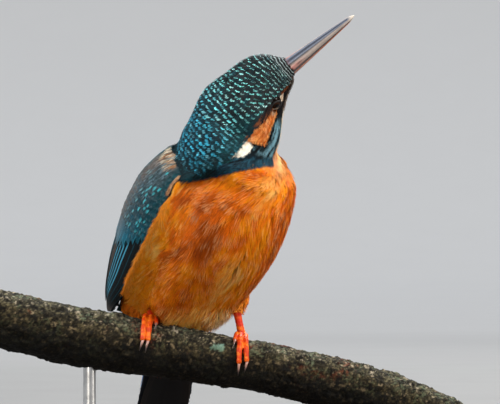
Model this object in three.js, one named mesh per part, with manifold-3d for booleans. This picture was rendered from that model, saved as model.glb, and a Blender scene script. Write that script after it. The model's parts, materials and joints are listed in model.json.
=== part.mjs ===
// A common kingfisher, perched with its head turned to its left and its bill raised, on a short
// cut length of branch that a plain display stand holds up. Life size, in millimetres, +Z up.
// The origin is the centre of the stand's underside. The breast faces -Y, turned towards +X.
import * as THREE from "three";
import { mergeVertices } from "three/addons/utils/BufferGeometryUtils.js";
import Module from "manifold-3d";

const wasm = await Module();
wasm.setup();

// ---------------------------------------------------------------- driving sizes
const GAP = 0.3; // clearance left between neighbouring pieces
const YAW = 32, // the breast's heading from -Y towards +X, degrees
  LEAN = 60, // the body axis above the horizontal, degrees
  VENT = [-12.4, 16.0, 66.6]; // the vent, where the body axis starts
const BILL_BASE = [32.1, -19.8, 169.2], // middle of the bill where it leaves the feathers
  BILL_LENGTH = 32.2,
  BILL_RISE = 37.3, // the bill above the horizontal, degrees
  BILL_HEADING = -12.8, // the bill from +X towards +Y, degrees
  HEAD_ROLL = 30; // the crown rolled from the viewer's side towards the upper left, degrees
const EYE_R = 2.9,
  EYE_AT = [3.72, -81.5], // loft station and angle round the head from the crown, degrees
  EYE_DEPTH = 2.1; // centre of the eyeball under the feathers
const TAIL_END = -43.2, // tail tip along the body axis from the vent
  TAIL_DISH = 0.012; // the tail's edges curve to the belly side
const PERCH_HEADING = 10, // the perch from +X towards +Y, degrees
  PERCH_SIDES = 20;
const BASE = { length: 132, width: 92, thick: 10, corner: 14, bevel: 1.2 },
  ROD_R = 2.6,
  ROD_AT = [-48, 44];

// Trunk sections, up the body axis from the vent:
// [distance up, shift to its left, shift to the breast, half width, back, breast, squareness]
const TRUNK = [
  [74.2, 3.9, 2.8, 23.6, 20.6, 22.6, 2.2],
  [67.1, 2.8, 2.0, 25.6, 21.6, 25.0, 2.3],
  [59.2, 1.6, 1.2, 27.2, 22.4, 27.0, 2.35],
  [48.6, 0.5, 0.4, 28.2, 22.8, 27.6, 2.4],
  [37.1, -0.2, -0.1, 27.8, 21.8, 26.0, 2.4],
  [26.5, -0.8, -0.6, 26.6, 19.8, 23.0, 2.35],
  [16.8, -1.3, -0.9, 24.4, 16.8, 19.4, 2.3],
  [8.0, -1.6, -1.2, 20.6, 13.2, 15.0, 2.2],
  [0.0, -1.3, -0.9, 15.6, 9.6, 10.0, 2.1],
  [-7.1, -0.6, -0.5, 11.4, 6.4, 6.2, 2.0],
  [-12.4, 0.0, 0.0, 8.6, 3.6, 3.4, 2.0],
];
// Head sections, back from the bill's base:
// [distance back, shift to its right, shift down, half width, crown, throat, squareness, share of the head's own set]
const HEAD = [
  [-1.0, 0, 0, 3.1, 3.4, 3.2, 2.0, 1],
  [1.2, -0.3, 0, 4.4, 5.2, 4.6, 2.1, 1],
  [4.5, -1.1, -0.5, 7.3, 8.6, 7.2, 2.2, 1],
  [9.0, -1.3, -0.6, 10.0, 11.4, 9.8, 2.25, 1],
  [15.0, 0.1, 0.1, 12.9, 14.0, 13.0, 2.25, 0.99],
  [22.4, 2.9, 1.5, 16.5, 16.4, 16.6, 2.2, 0.93],
  [30.2, 4.6, 2.8, 19.4, 18.6, 19.8, 2.1, 0.78],
];
// Neck sections in the body's axes: [up, left, breast, half width, back, throat, squareness, share of the head's set]
const NECK = [
  [84.6, 2.6, -1.6, 22.6, 21.0, 21.8, 2.1, 0.56],
  [79.7, 2.0, 0.8, 23.8, 21.4, 22.4, 2.1, 0.34],
];
const TRUNK_SET = [0.15, 0.03]; // the head's share left in the first trunk sections
// Folded wing sections: [up, left, breast, half width, back, squareness, leading edge, back edge (degrees from the spine)]
const WING = [
  [76.0, 4.2, 3.0, 25.5, 22.0, 2.1, 99, 50],
  [70.7, 3.2, 2.3, 30.4, 25.0, 2.15, 104, 34],
  [60.1, 1.6, 1.2, 34.4, 28.0, 2.25, 109, 24],
  [48.6, 0.5, 0.4, 35.4, 29.0, 2.35, 111, 19],
  [37.1, -0.2, -0.1, 35.2, 29.2, 2.4, 109, 18],
  [26.5, -0.8, -0.6, 34.6, 28.0, 2.35, 105.5, 20],
  [17.7, -1.3, -0.9, 33.6, 26.2, 2.3, 100, 25],
  [9.7, -1.6, -1.2, 32.6, 24.4, 2.2, 90.5, 34],
  [3.5, -1.6, -1.2, 31.4, 22.8, 2.1, 78, 43],
  [-1.4, -1.6, -1.2, 30.4, 21.6, 2.1, 64, 51],
];
const WING_THICK = [6.4, 2.6], // at the shoulder and at the tip
  WING_EDGE_DROP = 2.6, // how far the wing's edges tuck in towards the body
  LEFT_WING_SPREAD = 0.68, // the left wing is drawn narrower, its leading edge under the flank
  LEFT_WING_TUCK = 2.2; // and held closer in
// Tail: [along the body axis, half width, half thickness, shift to the bird's left]
const TAIL = [
  [-12.8, 9.6, 3.0, 0],
  [-20, 11.6, 2.2, 0.8],
  [-28, 12.6, 1.5, 1.7],
  [-36, 12.9, 1.1, 2.5],
  [-41, 12.3, 0.9, 3.0],
  [TAIL_END, 9.8, 0.8, 3.2],
];
// Perch centre line: [x, z, radius]
const PERCH = [
  [-86.4, 69.5, 11.3],
  [-58.4, 62.8, 11.7],
  [-30.4, 57.6, 11.4],
  [-7.6, 53.6, 10.6],
  [18.0, 49.2, 10.1],
  [36.0, 45.4, 10.0],
  [56.0, 40.8, 10.2],
  [76.0, 34.4, 10.2],
  [98.0, 25.2, 9.9],
];
const PERCH_Y = 3.0, // its depth under the bird
  PERCH_X0 = -6.0;
// Feet: where each stands along x, then each toe's [start x, end x, start angle, end angle down the
// front of the perch, radius, claw tip x, claw tip angle]
const FEET = {
  right: {
    at: -23.6,
    ankle: [-24.9, -1.9, 74.6],
    toes: {
      outer: [-25.6, -26.7, 10, 77, 1.15, -27.9, 96],
      middle: [-23.5, -24.6, 10, 76, 1.15, -25.7, 98],
      inner: [-22.0, -21.5, 8, 34, 1.05, -21.6, 52],
      hind: [-23.6, -24.6, -14, -60, 1.1, -25.2, -84],
    },
  },
  left: {
    at: 12.7,
    ankle: [10.7, 7.2, 71.4],
    toes: {
      outer: [14.0, 14.7, 10, 84, 1.15, 13.7, 106],
      middle: [12.1, 11.6, 10, 90, 1.15, 11.2, 114],
      inner: [10.9, 10.0, 8, 38, 1.05, 9.3, 60],
      hind: [12.4, 11.8, -14, -62, 1.1, 11.4, -86],
    },
  },
};
const CLAW_R = 0.62,
  SHANK_R = 1.55;

// ---------------------------------------------------------------- vectors and frames
const V = (x, y, z) => new THREE.Vector3(x, y, z);
const rad = THREE.MathUtils.degToRad;
const UP = V(0, 0, 1);
const facing = V(Math.sin(rad(YAW)), -Math.cos(rad(YAW)), 0);
const bodyUp = facing.clone().multiplyScalar(Math.cos(rad(LEAN))).addScaledVector(UP, Math.sin(rad(LEAN)));
const bodyFront = facing.clone().multiplyScalar(Math.sin(rad(LEAN))).addScaledVector(UP, -Math.cos(rad(LEAN)));
const bodyBack = bodyFront.clone().negate();
const bodyLeft = V(Math.cos(rad(YAW)), Math.sin(rad(YAW)), 0);
const vent = V(...VENT);
const billBase = V(...BILL_BASE);
const billDir = V(
  Math.cos(rad(BILL_RISE)) * Math.cos(rad(BILL_HEADING)),
  Math.cos(rad(BILL_RISE)) * Math.sin(rad(BILL_HEADING)),
  Math.sin(rad(BILL_RISE)),
);
const toViewer = V(0, -1, 0).addScaledVector(billDir, billDir.y).normalize();
const upLeft = toViewer.clone().cross(billDir).normalize();
const crownDir = toViewer
  .clone()
  .multiplyScalar(Math.cos(rad(HEAD_ROLL)))
  .addScaledVector(upLeft, Math.sin(rad(HEAD_ROLL)));
const headLeft = crownDir.clone().cross(billDir).normalize();
const inBody = (up, left, front) =>
  vent.clone().addScaledVector(bodyUp, up).addScaledVector(bodyLeft, left).addScaledVector(bodyFront, front);

// Catmull-Rom through rows of numbers.
function spline(rows, s) {
  const last = rows.length - 1;
  s = Math.min(Math.max(s, 0), last - 1e-9);
  const i = Math.floor(s),
    u = s - i;
  const p1 = rows[i],
    p2 = rows[i + 1],
    p0 = i > 0 ? rows[i - 1] : p1.map((x, k) => 2 * x - p2[k]),
    p3 = i + 2 <= last ? rows[i + 2] : p2.map((x, k) => 2 * x - p1[k]);
  return p1.map(
    (x, k) =>
      0.5 *
      (2 * x +
        (p2[k] - p0[k]) * u +
        (2 * p0[k] - 5 * x + 4 * p2[k] - p3[k]) * u * u +
        (3 * x - p0[k] - 3 * p2[k] + p3[k]) * u * u * u),
  );
}

// ---------------------------------------------------------------- the body's loft
// One row per section: centre x, y, z, head share, half width, dorsal, ventral, squareness.
const sections = [
  ...HEAD.map(([x, right, down, a, crown, throat, n, w]) => [
    ...billBase.clone().addScaledVector(billDir, -x).addScaledVector(headLeft, -right).addScaledVector(crownDir, -down),
    w, a, crown, throat, n,
  ]),
  ...NECK.map(([u, l, f, a, back, front, n, w]) => [...inBody(u, l, f), w, a, back, front, n]),
  ...TRUNK.map(([u, l, f, a, back, front, n], i) => [...inBody(u, l, f), TRUNK_SET[i] ?? 0, a, back, front, n]),
];
const N_SECTIONS = sections.length;
const turn = Math.acos(THREE.MathUtils.clamp(crownDir.dot(bodyBack), -1, 1));

function bodyPoint(s, th, off = 0) {
  const [x, y, z, w0, a, rd, rv, n] = spline(sections, s);
  const w = THREE.MathUtils.clamp(w0, 0, 1);
  const along = billDir.clone().multiplyScalar(-w).addScaledVector(bodyUp, -(1 - w)).normalize();
  const dorsal = crownDir
    .clone()
    .multiplyScalar(Math.sin(w * turn) / Math.sin(turn))
    .addScaledVector(bodyBack, Math.sin((1 - w) * turn) / Math.sin(turn));
  dorsal.addScaledVector(along, -dorsal.dot(along)).normalize();
  const left = along.clone().cross(dorsal);
  const c = Math.cos(th),
    q = Math.sin(th);
  const k = (Math.abs(c) ** n + Math.abs(q) ** n) ** (-1 / n);
  return V(x, y, z)
    .addScaledVector(dorsal, ((c > 0 ? rd : rv) + off) * c * k)
    .addScaledVector(left, (a + off) * q * k);
}

// A closed solid through rings of points, each ring an array of the same length, ends capped.
function skinRings(rings) {
  const m = rings[0].length,
    pos = [],
    idx = [];
  rings.forEach((ring) => ring.forEach((p) => pos.push(p.x, p.y, p.z)));
  for (let i = 0; i + 1 < rings.length; i++)
    for (let j = 0; j < m; j++) {
      const a = i * m + j,
        b = i * m + ((j + 1) % m),
        c = a + m,
        d = b + m;
      idx.push(a, b, c, b, d, c);
    }
  for (const [row, flip] of [[0, true], [rings.length - 1, false]]) {
    const centre = rings[row].reduce((t, p) => t.add(p), V(0, 0, 0)).multiplyScalar(1 / m);
    const k = pos.length / 3;
    pos.push(centre.x, centre.y, centre.z);
    for (let j = 0; j < m; j++) {
      const a = row * m + j,
        b = row * m + ((j + 1) % m);
      flip ? idx.push(k, b, a) : idx.push(k, a, b);
    }
  }
  return new THREE.BufferGeometry()
    .setAttribute("position", new THREE.Float32BufferAttribute(pos, 3))
    .setIndex(idx);
}
function solid(geometry) {
  const g = geometry.clone();
  g.deleteAttribute("normal");
  g.deleteAttribute("uv");
  const merged = mergeVertices(g.index ? g.toNonIndexed() : g, 1e-4);
  const made = new wasm.Manifold(
    new wasm.Mesh({
      numProp: 3,
      vertProperties: new Float32Array(merged.attributes.position.array),
      triVerts: new Uint32Array(merged.index.array),
    }),
  );
  if (made.volume() >= 0) return made;
  const turned = merged.index.array.slice();
  for (let i = 0; i < turned.length; i += 3) [turned[i + 1], turned[i + 2]] = [turned[i + 2], turned[i + 1]];
  return new wasm.Manifold(
    new wasm.Mesh({
      numProp: 3,
      vertProperties: new Float32Array(merged.attributes.position.array),
      triVerts: new Uint32Array(turned),
    }),
  );
}
// The largest body of a solid, as a geometry: cuts can leave slivers.
function geometryOf(s) {
  const parts = s.decompose().sort((a, b) => b.volume() - a.volume());
  const m = parts[0].getMesh();
  const v = new Float32Array(m.numVert * 3);
  for (let i = 0; i < m.numVert; i++) for (let k = 0; k < 3; k++) v[i * 3 + k] = m.vertProperties[i * m.numProp + k];
  return new THREE.BufferGeometry()
    .setAttribute("position", new THREE.BufferAttribute(v, 3))
    .setIndex(new THREE.BufferAttribute(new Uint32Array(m.triVerts), 1));
}

function bodyLoft(s0, s1, off = 0, step = 0.5, around = 24) {
  // rings on one shared grid, so that neighbouring pieces follow the same facets
  const stations = [s0];
  for (let k = Math.ceil(s0 / step + 0.05); k * step < s1 - 0.02; k++) stations.push(k * step);
  stations.push(s1);
  return solid(
    skinRings(
      stations.map((s) => Array.from({ length: around }, (_, j) => bodyPoint(s, (j / around) * 2 * Math.PI, off))),
    ),
  );
}

// ---------------------------------------------------------------- perch
const perchAt = (x) => {
  let lo = 0,
    hi = PERCH.length - 1;
  for (let i = 0; i < 40; i++) {
    const mid = (lo + hi) / 2;
    spline(PERCH, mid)[0] < x ? (lo = mid) : (hi = mid);
  }
  return lo;
};
const slopeY = Math.tan(rad(PERCH_HEADING));
function perchFrame(s) {
  const [x, z, r] = spline(PERCH, s),
    [xa, za] = spline(PERCH, Math.max(0, s - 0.02)),
    [xb, zb] = spline(PERCH, Math.min(PERCH.length - 1, s + 0.02));
  const t = V(xb - xa, slopeY * (xb - xa), zb - za).normalize();
  const front = t.clone().cross(UP).negate().normalize().negate();
  const top = front.clone().cross(t).normalize();
  if (top.z < 0) top.negate();
  if (front.y > 0) front.negate();
  return { c: V(x, PERCH_Y + slopeY * (x - PERCH_X0), z), t, front, top, r };
}
// A point on the perch: x along it, phi from its top down its front, height over its surface.
function onPerch(x, phi, height) {
  const near = perchFrame(perchAt(x)),
    shift = (near.r + height) * (near.top.x * Math.cos(phi) + near.front.x * Math.sin(phi));
  const { c, front, top, r } = perchFrame(perchAt(x - shift));
  return c
    .clone()
    .addScaledVector(top, (r + height) * Math.cos(phi))
    .addScaledVector(front, (r + height) * Math.sin(phi));
}
function perchSolid(off = 0, step = 0.5, s0 = 0, s1 = PERCH.length - 1) {
  const rings = [],
    count = Math.round((s1 - s0) / step);
  for (let i = 0; i <= count; i++) {
    const s = s0 + ((s1 - s0) * i) / count,
      { c, front, top, r } = perchFrame(s);
    rings.push(
      Array.from({ length: PERCH_SIDES }, (_, j) => {
        const a = (j / PERCH_SIDES) * 2 * Math.PI;
        const rr = r + off;
        return c.clone().addScaledVector(top, rr * Math.cos(a)).addScaledVector(front, rr * Math.sin(a));
      }),
    );
  }
  return solid(skinRings(rings));
}

// ---------------------------------------------------------------- tubes for shanks, toes and claws
function tube(points, radii, around = 8) {
  const rings = points.map((p, i) => {
    const t = points[Math.min(i + 1, points.length - 1)].clone().sub(points[Math.max(i - 1, 0)]).normalize();
    const side = t.clone().cross(Math.abs(t.x) < 0.8 ? V(1, 0, 0) : V(0, 1, 0)).normalize(),
      other = t.clone().cross(side);
    return Array.from({ length: around }, (_, j) => {
      const a = (j / around) * 2 * Math.PI;
      return p.clone().addScaledVector(side, radii[i] * Math.cos(a)).addScaledVector(other, radii[i] * Math.sin(a));
    });
  });
  return solid(skinRings(rings));
}

// A plain six-sided twin of a tube that stands off it by the gap all round.
const coarse = (points, radii) => tube(points, radii.map((q) => (q + GAP) * 1.16), 6);

// ---------------------------------------------------------------- building the pieces
const group = new THREE.Group();
const MATERIALS = {
  plumage_orange: { color: 0xb4601a, roughness: 0.85 },
  plumage_teal: { color: 0x14424c, roughness: 0.6 },
  feather_dark: { color: 0x0e2229, roughness: 0.55 },
  bill_dark: { color: 0x24221f, roughness: 0.35 },
  bill_red: { color: 0xb4582c, roughness: 0.4 },
  eye: { color: 0x0a0705, roughness: 0.08 },
  leg: { color: 0xe8481c, roughness: 0.5 },
  claw: { color: 0x3a2a26, roughness: 0.35 },
  bark: { color: 0x3a362c, roughness: 0.95 },
  stand_wood: { color: 0x2e241c, roughness: 0.5 },
  stand_metal: { color: 0x8c8c88, roughness: 0.35, metalness: 1 },
};
const material = Object.fromEntries(
  Object.entries(MATERIALS).map(([k, v]) => [k, new THREE.MeshStandardMaterial({ metalness: 0, ...v })]),
);
const put = (name, s, mat) => {
  const mesh = new THREE.Mesh(s.isBufferGeometry ? s : geometryOf(s), material[mat]);
  mesh.name = name;
  group.add(mesh);
};

// Perch, with its inflated twin that cuts whatever rests on it.
const perch = perchSolid();
const perchClear = perchSolid(GAP);
put("perch", perch, "bark");

// Stand: a flat base with rounded corners, and two rods up to the perch's underside.
{
  const { length: l, width: w, thick, corner: c, bevel } = BASE;
  const shape = new THREE.Shape()
    .moveTo(-l / 2 + c, -w / 2)
    .lineTo(l / 2 - c, -w / 2)
    .absarc(l / 2 - c, -w / 2 + c, c, -Math.PI / 2, 0, false)
    .lineTo(l / 2, w / 2 - c)
    .absarc(l / 2 - c, w / 2 - c, c, 0, Math.PI / 2, false)
    .lineTo(-l / 2 + c, w / 2)
    .absarc(-l / 2 + c, w / 2 - c, c, Math.PI / 2, Math.PI, false)
    .lineTo(-l / 2, -w / 2 + c)
    .absarc(-l / 2 + c, -w / 2 + c, c, Math.PI, 1.5 * Math.PI, false);
  const slab = new THREE.ExtrudeGeometry(shape, {
    depth: thick - bevel,
    bevelEnabled: true,
    bevelThickness: bevel,
    bevelSize: bevel,
    bevelOffset: -bevel,
    bevelSegments: 1,
    curveSegments: 7,
  });
  // the lower bevel is cut away, so that the underside is one flat face at z = 0
  const cutter = solid(new THREE.BoxGeometry(400, 400, 40).translate(0, 0, -20));
  put("stand_base", solid(slab).subtract(cutter), "stand_wood");
  ROD_AT.forEach((x, i) => {
    const { c: centre, r } = perchFrame(perchAt(x));
    const top = centre.z - r * 0.55,
      h = top - thick - GAP;
    const rod = new THREE.CylinderGeometry(ROD_R, ROD_R, h, 16)
      .rotateX(Math.PI / 2)
      .translate(x, centre.y, thick + GAP + h / 2);
    put(["stand_rod_left_end", "stand_rod_right_end"][i], solid(rod).subtract(perchClear), "stand_metal");
  });
}

// Body: head, neck, breast and belly are one loft parted by thin planar cuts.
const H1 = 6.2,
  N1 = 9.35,
  B1 = 13.5,
  END = N_SECTIONS - 1;
const cut = 0.045; // half the loft parameter taken out at each parting
const eye = {};
for (const side of ["right", "left"]) {
  const th = rad(EYE_AT[1]) * (side === "right" ? 1 : -1);
  const p = bodyPoint(EYE_AT[0], th),
    inner = bodyPoint(EYE_AT[0], th, -5);
  const dir = inner.clone().sub(p).normalize();
  eye[side] = p.clone().addScaledVector(dir, EYE_DEPTH);
}
const ball = (p, r, w = 12, hgt = 8) => solid(new THREE.SphereGeometry(r, w, hgt).translate(p.x, p.y, p.z));

// Bill: a ridged upper and a keeled lower half, each a loft from the feathers to the tip.
function billHalf(upper) {
  const rings = [],
    steps = 10;
  for (let i = 0; i <= steps; i++) {
    const t = i / steps,
      x = -1.5 + (BILL_LENGTH - (upper ? 0 : 0.8) + 1.5) * t;
    const taper = 1 - 0.8 * t ** 1.12,
      tip = Math.sqrt(Math.max(0.02, 1 - Math.max(0, (t - 0.9) / 0.1) ** 2));
    const hgt = 4.1 * taper * tip,
      wid = 3.2 * (1 - 0.74 * t ** 1.1) * tip,
      seam = -0.5 * taper;
    const profile = upper
      ? [[-1, 0], [-0.98, 0.3], [-0.72, 0.72], [-0.26, 0.97], [0.26, 0.97], [0.72, 0.72], [0.98, 0.3], [1, 0]]
      : [[1, 0], [0.94, -0.4], [0.62, -0.8], [0.2, -1], [-0.2, -1], [-0.62, -0.8], [-0.94, -0.4], [-1, 0]];
    const height = upper ? hgt - seam : hgt + seam;
    const shift = upper ? GAP / 2 : -GAP / 2;
    rings.push(
      profile.map(([px, py]) =>
        billBase
          .clone()
          .addScaledVector(billDir, x)
          .addScaledVector(headLeft, px * wid)
          .addScaledVector(crownDir, seam + shift + py * Math.max(height - GAP / 2, 0.35)),
      ),
    );
  }
  return solid(skinRings(rings));
}
const billUpper = billHalf(true),
  billLower = billHalf(false);
// the head is cut back round the bill's root by a slightly larger copy of it
const billRoot = (() => {
  const rings = [-3, 3].map((x) =>
    Array.from({ length: 16 }, (_, j) => {
      const a = (j / 16) * 2 * Math.PI;
      return billBase
        .clone()
        .addScaledVector(billDir, x)
        .addScaledVector(headLeft, 3.75 * Math.cos(a))
        .addScaledVector(crownDir, 4.6 * Math.sin(a) + 0.0);
    }),
  );
  return solid(skinRings(rings));
})();
put("bill_upper", billUpper, "bill_dark");
put("bill_lower", billLower, "bill_red");

put(
  "head",
  bodyLoft(0, H1 - cut)
    .subtract(billRoot)
    .subtract(ball(eye.right, EYE_R + GAP))
    .subtract(ball(eye.left, EYE_R + GAP)),
  "plumage_teal",
);
put("eye_right", ball(eye.right, EYE_R), "eye");
put("eye_left", ball(eye.left, EYE_R), "eye");
put("neck", bodyLoft(H1 + cut, N1 - cut), "plumage_teal");
put("breast", bodyLoft(N1 + cut, B1 - cut), "plumage_orange");

// Shanks run from the ankles down to the feet.
const shank = {};
for (const side of ["right", "left"]) {
  const sole = onPerch(FEET[side].at, rad(2), 1.3),
    top = V(...FEET[side].ankle),
    pts = [],
    rs = [];
  for (let i = 0; i <= 5; i++) {
    const t = i / 5;
    pts.push(top.clone().lerp(sole, t * 0.86));
    rs.push(SHANK_R * (1 + 0.25 * (2 * t - 1) ** 2));
  }
  const lifted = [top.clone().addScaledVector(sole.clone().sub(top).normalize(), -0.6), ...pts.slice(1)];
  shank[side] = { sole, solid: tube(pts, rs, 10), clear: coarse(lifted, rs) };
}

// Feet: four toes round the perch, and a curved claw on each toe. Each piece has a slightly
// fatter twin that parts the plumage round it.
const feet = {};
for (const side of ["right", "left"]) {
  const { toes } = FEET[side],
    { sole } = shank[side];
  const pad = (more) =>
    solid(
      new THREE.SphereGeometry(1, 10, 7).scale(2.5 + more, 2.4 + more, 1.35 + more).translate(sole.x, sole.y, sole.z + 0.1),
    );
  let foot = pad(0),
    clear = pad(GAP + 0.15);
  const claws = [];
  for (const [name, [x0, x1, a0, a1, r, xTip, aTip]] of Object.entries(toes)) {
    const pts = [],
      rs = [],
      steps = 7;
    for (let i = 0; i <= steps; i++) {
      const t = i / steps,
        rr = r * (1 - 0.22 * t);
      pts.push(onPerch(x0 + (x1 - x0) * t, rad(a0 + (a1 - a0) * t), rr + GAP));
      rs.push(i === 0 ? rr * 0.7 : i === steps ? rr * 0.6 : rr);
    }
    foot = foot.add(tube(pts, rs, 8));
    clear = clear.add(coarse(pts, rs));
    // the claw leaves the toe's end, arches out and hooks back to the bark
    const cp = [],
      cr = [],
      slack = Math.sign(a1 - a0) * 1.5;
    for (let i = 0; i <= 5; i++) {
      const t = i / 5;
      cp.push(
        onPerch(
          x1 + (xTip - x1) * t,
          rad(a1 + slack + (aTip - a1 - slack) * t),
          r * 0.78 + GAP + 0.75 * Math.sin(Math.PI * Math.min(1, t * 0.8 + 0.05)) - 0.45 * t,
        ),
      );
      cr.push(CLAW_R * (1 - 0.82 * t));
    }
    const fat = coarse(cp, cr);
    claws.push([name, tube(cp, cr, 6), fat]);
    clear = clear.add(fat);
  }
  foot = foot
    .subtract(shank[side].clear)
    .subtract(perchSolid(0.15));
  for (const [, , fat] of claws) foot = foot.subtract(fat);
  put(`shank_${side}`, shank[side].solid, "leg");
  put(`foot_${side}`, foot, "leg");
  for (const [name, claw] of claws) put(`claw_${side}_${name}`, claw.subtract(perchClear), "claw");
  feet[side] = { clear: clear.add(shank[side].clear) };
}
const legsClear = feet.right.clear.add(feet.left.clear);

// Thighs: feathered lobes from the flanks down to the ankles, cut by the trunk and the perch.
const belly = bodyLoft(B1 + cut, END);
const trunkClear = bodyLoft(H1, END, GAP);
const lobes = {
  right: [
    [[-12, 4, 92], 11],
    [[-20, 6, 86], 11.5],
    [[-25.4, 8.4, 79], 9.8],
    [[-28.4, 10.2, 72.5], 7.4],
    [[-30.0, 11.4, 66.8], 4.6],
  ],
  left: [
    [[0, 9, 88], 10],
    [[7, 9.6, 82], 9.0],
    [[10.6, 8.6, 76.5], 5.4],
    [[11.0, 7.6, 73], 2.9],
    [[10.9, 7.3, 71.2], 2.0],
  ],
};
for (const side of ["right", "left"]) {
  const rows = lobes[side].map(([p, r]) => [...p, r]);
  const pts = [],
    rs = [];
  for (let i = 0; i <= 12; i++) {
    const [x, y, z, r] = spline(rows, (i / 12) * (rows.length - 1));
    pts.push(V(x, y, z));
    rs.push(r);
  }
  const lobe = tube(pts, rs, 18);
  lobes[side].clear = tube(pts, rs.map((q) => q + GAP + 0.1), 18);
  put(`thigh_${side}`, lobe.subtract(trunkClear).subtract(perchClear).subtract(legsClear), "plumage_orange");
}

// Wings: a thin folded shell outside the trunk, mirrored across the body's own middle.
function wingPoint(s, v, side, off) {
  const [u, l, f, a, back, n, t0, t1] = spline(WING, s);
  const lead = side > 0 ? t1 + (t0 - t1) * LEFT_WING_SPREAD : t0;
  const th = rad(lead + (t1 - lead) * v),
    c = Math.cos(th),
    q = Math.sin(th) * side;
  const k = (Math.abs(c) ** n + Math.abs(q) ** n) ** (-1 / n);
  const o = off - (side > 0 ? LEFT_WING_TUCK : 0) - WING_EDGE_DROP * Math.abs(2 * v - 1) ** 4;
  return inBody(u, l, f)
    .addScaledVector(bodyBack, ((c > 0 ? back : 27) + o) * c * k)
    .addScaledVector(bodyLeft, (a + o) * q * k);
}
for (const [name, side] of [["right", -1], ["left", 1]]) {
  const rings = [],
    across = 7,
    steps = 16;
  for (let i = 0; i <= steps; i++) {
    const s = (i / steps) * (WING.length - 1),
      thick = WING_THICK[0] + (WING_THICK[1] - WING_THICK[0]) * (i / steps);
    const ring = [];
    for (let j = 0; j <= across; j++) ring.push(wingPoint(s, j / across, side, 0));
    for (let j = across; j >= 0; j--) ring.push(wingPoint(s, j / across, side, -thick));
    rings.push(side > 0 ? ring.reverse() : ring);
  }
  put(`wing_${name}`, solid(skinRings(rings)).subtract(trunkClear).subtract(perchClear).subtract(lobes[name].clear).subtract(legsClear), "feather_dark");
}

// Tail: a slim slightly rounded plate down the body axis, behind the perch.
const tail = (() => {
  const rings = TAIL.map(([u, half, thick, shift]) =>
    Array.from({ length: 20 }, (_, j) => {
      const a = (j / 20) * 2 * Math.PI,
        x = Math.cos(a),
        y = Math.sin(a);
      const k = (Math.abs(x) ** 2.6 + Math.abs(y) ** 2.6) ** (-1 / 2.6);
      return inBody(u, shift + half * x * k, thick * y * k + TAIL_DISH * (half * x) ** 2);
    }),
  );
  return solid(skinRings(rings));
})();
put("tail", tail.subtract(perchClear), "feather_dark");
put("belly", belly.subtract(perchClear).subtract(legsClear), "plumage_orange");

export default group;
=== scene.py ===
import json
import math

import bpy
import numpy as np
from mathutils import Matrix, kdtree

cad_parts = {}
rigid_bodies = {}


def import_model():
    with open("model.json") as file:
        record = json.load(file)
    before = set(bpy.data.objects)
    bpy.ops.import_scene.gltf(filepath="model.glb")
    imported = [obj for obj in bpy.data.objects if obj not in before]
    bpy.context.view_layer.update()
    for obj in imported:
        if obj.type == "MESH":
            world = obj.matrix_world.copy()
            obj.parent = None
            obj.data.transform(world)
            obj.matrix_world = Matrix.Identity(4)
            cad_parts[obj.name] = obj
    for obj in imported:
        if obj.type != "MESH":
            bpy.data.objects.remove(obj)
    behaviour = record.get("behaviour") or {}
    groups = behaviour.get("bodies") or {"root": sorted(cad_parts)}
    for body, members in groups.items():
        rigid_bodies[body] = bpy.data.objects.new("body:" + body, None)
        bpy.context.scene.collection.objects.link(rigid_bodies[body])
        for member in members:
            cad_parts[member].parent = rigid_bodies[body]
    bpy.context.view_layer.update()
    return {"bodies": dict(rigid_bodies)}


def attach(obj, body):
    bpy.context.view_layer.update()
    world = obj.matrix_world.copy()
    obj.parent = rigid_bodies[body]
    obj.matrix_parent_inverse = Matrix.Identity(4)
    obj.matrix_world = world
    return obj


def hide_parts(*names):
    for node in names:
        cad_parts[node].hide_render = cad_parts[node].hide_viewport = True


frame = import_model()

rng = np.random.default_rng(31)
R = np.radians
PI = math.pi


# =========================================================== shapes shared with the solids (mm)
YAW, LEAN = 32, 60
VENT = np.array([-12.4, 16.0, 66.6])
BILL_BASE = np.array([32.1, -19.8, 169.2])
BILL_LENGTH, BILL_RISE, BILL_HEADING, HEAD_ROLL = 32.2, 37.3, -12.8, 30
EYE_R, EYE_AT, EYE_DEPTH = 2.9, (3.72, 81.5), 2.1
TRUNK = [
    [74.2, 3.9, 2.8, 23.6, 20.6, 22.6, 2.2],
    [67.1, 2.8, 2.0, 25.6, 21.6, 25.0, 2.3],
    [59.2, 1.6, 1.2, 27.2, 22.4, 27.0, 2.35],
    [48.6, 0.5, 0.4, 28.2, 22.8, 27.6, 2.4],
    [37.1, -0.2, -0.1, 27.8, 21.8, 26.0, 2.4],
    [26.5, -0.8, -0.6, 26.6, 19.8, 23.0, 2.35],
    [16.8, -1.3, -0.9, 24.4, 16.8, 19.4, 2.3],
    [8.0, -1.6, -1.2, 20.6, 13.2, 15.0, 2.2],
    [0.0, -1.3, -0.9, 15.6, 9.6, 10.0, 2.1],
    [-7.1, -0.6, -0.5, 11.4, 6.4, 6.2, 2.0],
    [-12.4, 0.0, 0.0, 8.6, 3.6, 3.4, 2.0],
]
HEAD = [
    [-1.0, 0, 0, 3.1, 3.4, 3.2, 2.0, 1],
    [1.2, -0.3, 0, 4.4, 5.2, 4.6, 2.1, 1],
    [4.5, -1.1, -0.5, 7.3, 8.6, 7.2, 2.2, 1],
    [9.0, -1.3, -0.6, 10.0, 11.4, 9.8, 2.25, 1],
    [15.0, 0.1, 0.1, 12.9, 14.0, 13.0, 2.25, 0.99],
    [22.4, 2.9, 1.5, 16.5, 16.4, 16.6, 2.2, 0.93],
    [30.2, 4.6, 2.8, 19.4, 18.6, 19.8, 2.1, 0.78],
]
NECK = [[84.6, 2.6, -1.6, 22.6, 21.0, 21.8, 2.1, 0.56], [79.7, 2.0, 0.8, 23.8, 21.4, 22.4, 2.1, 0.34]]
TRUNK_SET = [0.15, 0.03]
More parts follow.
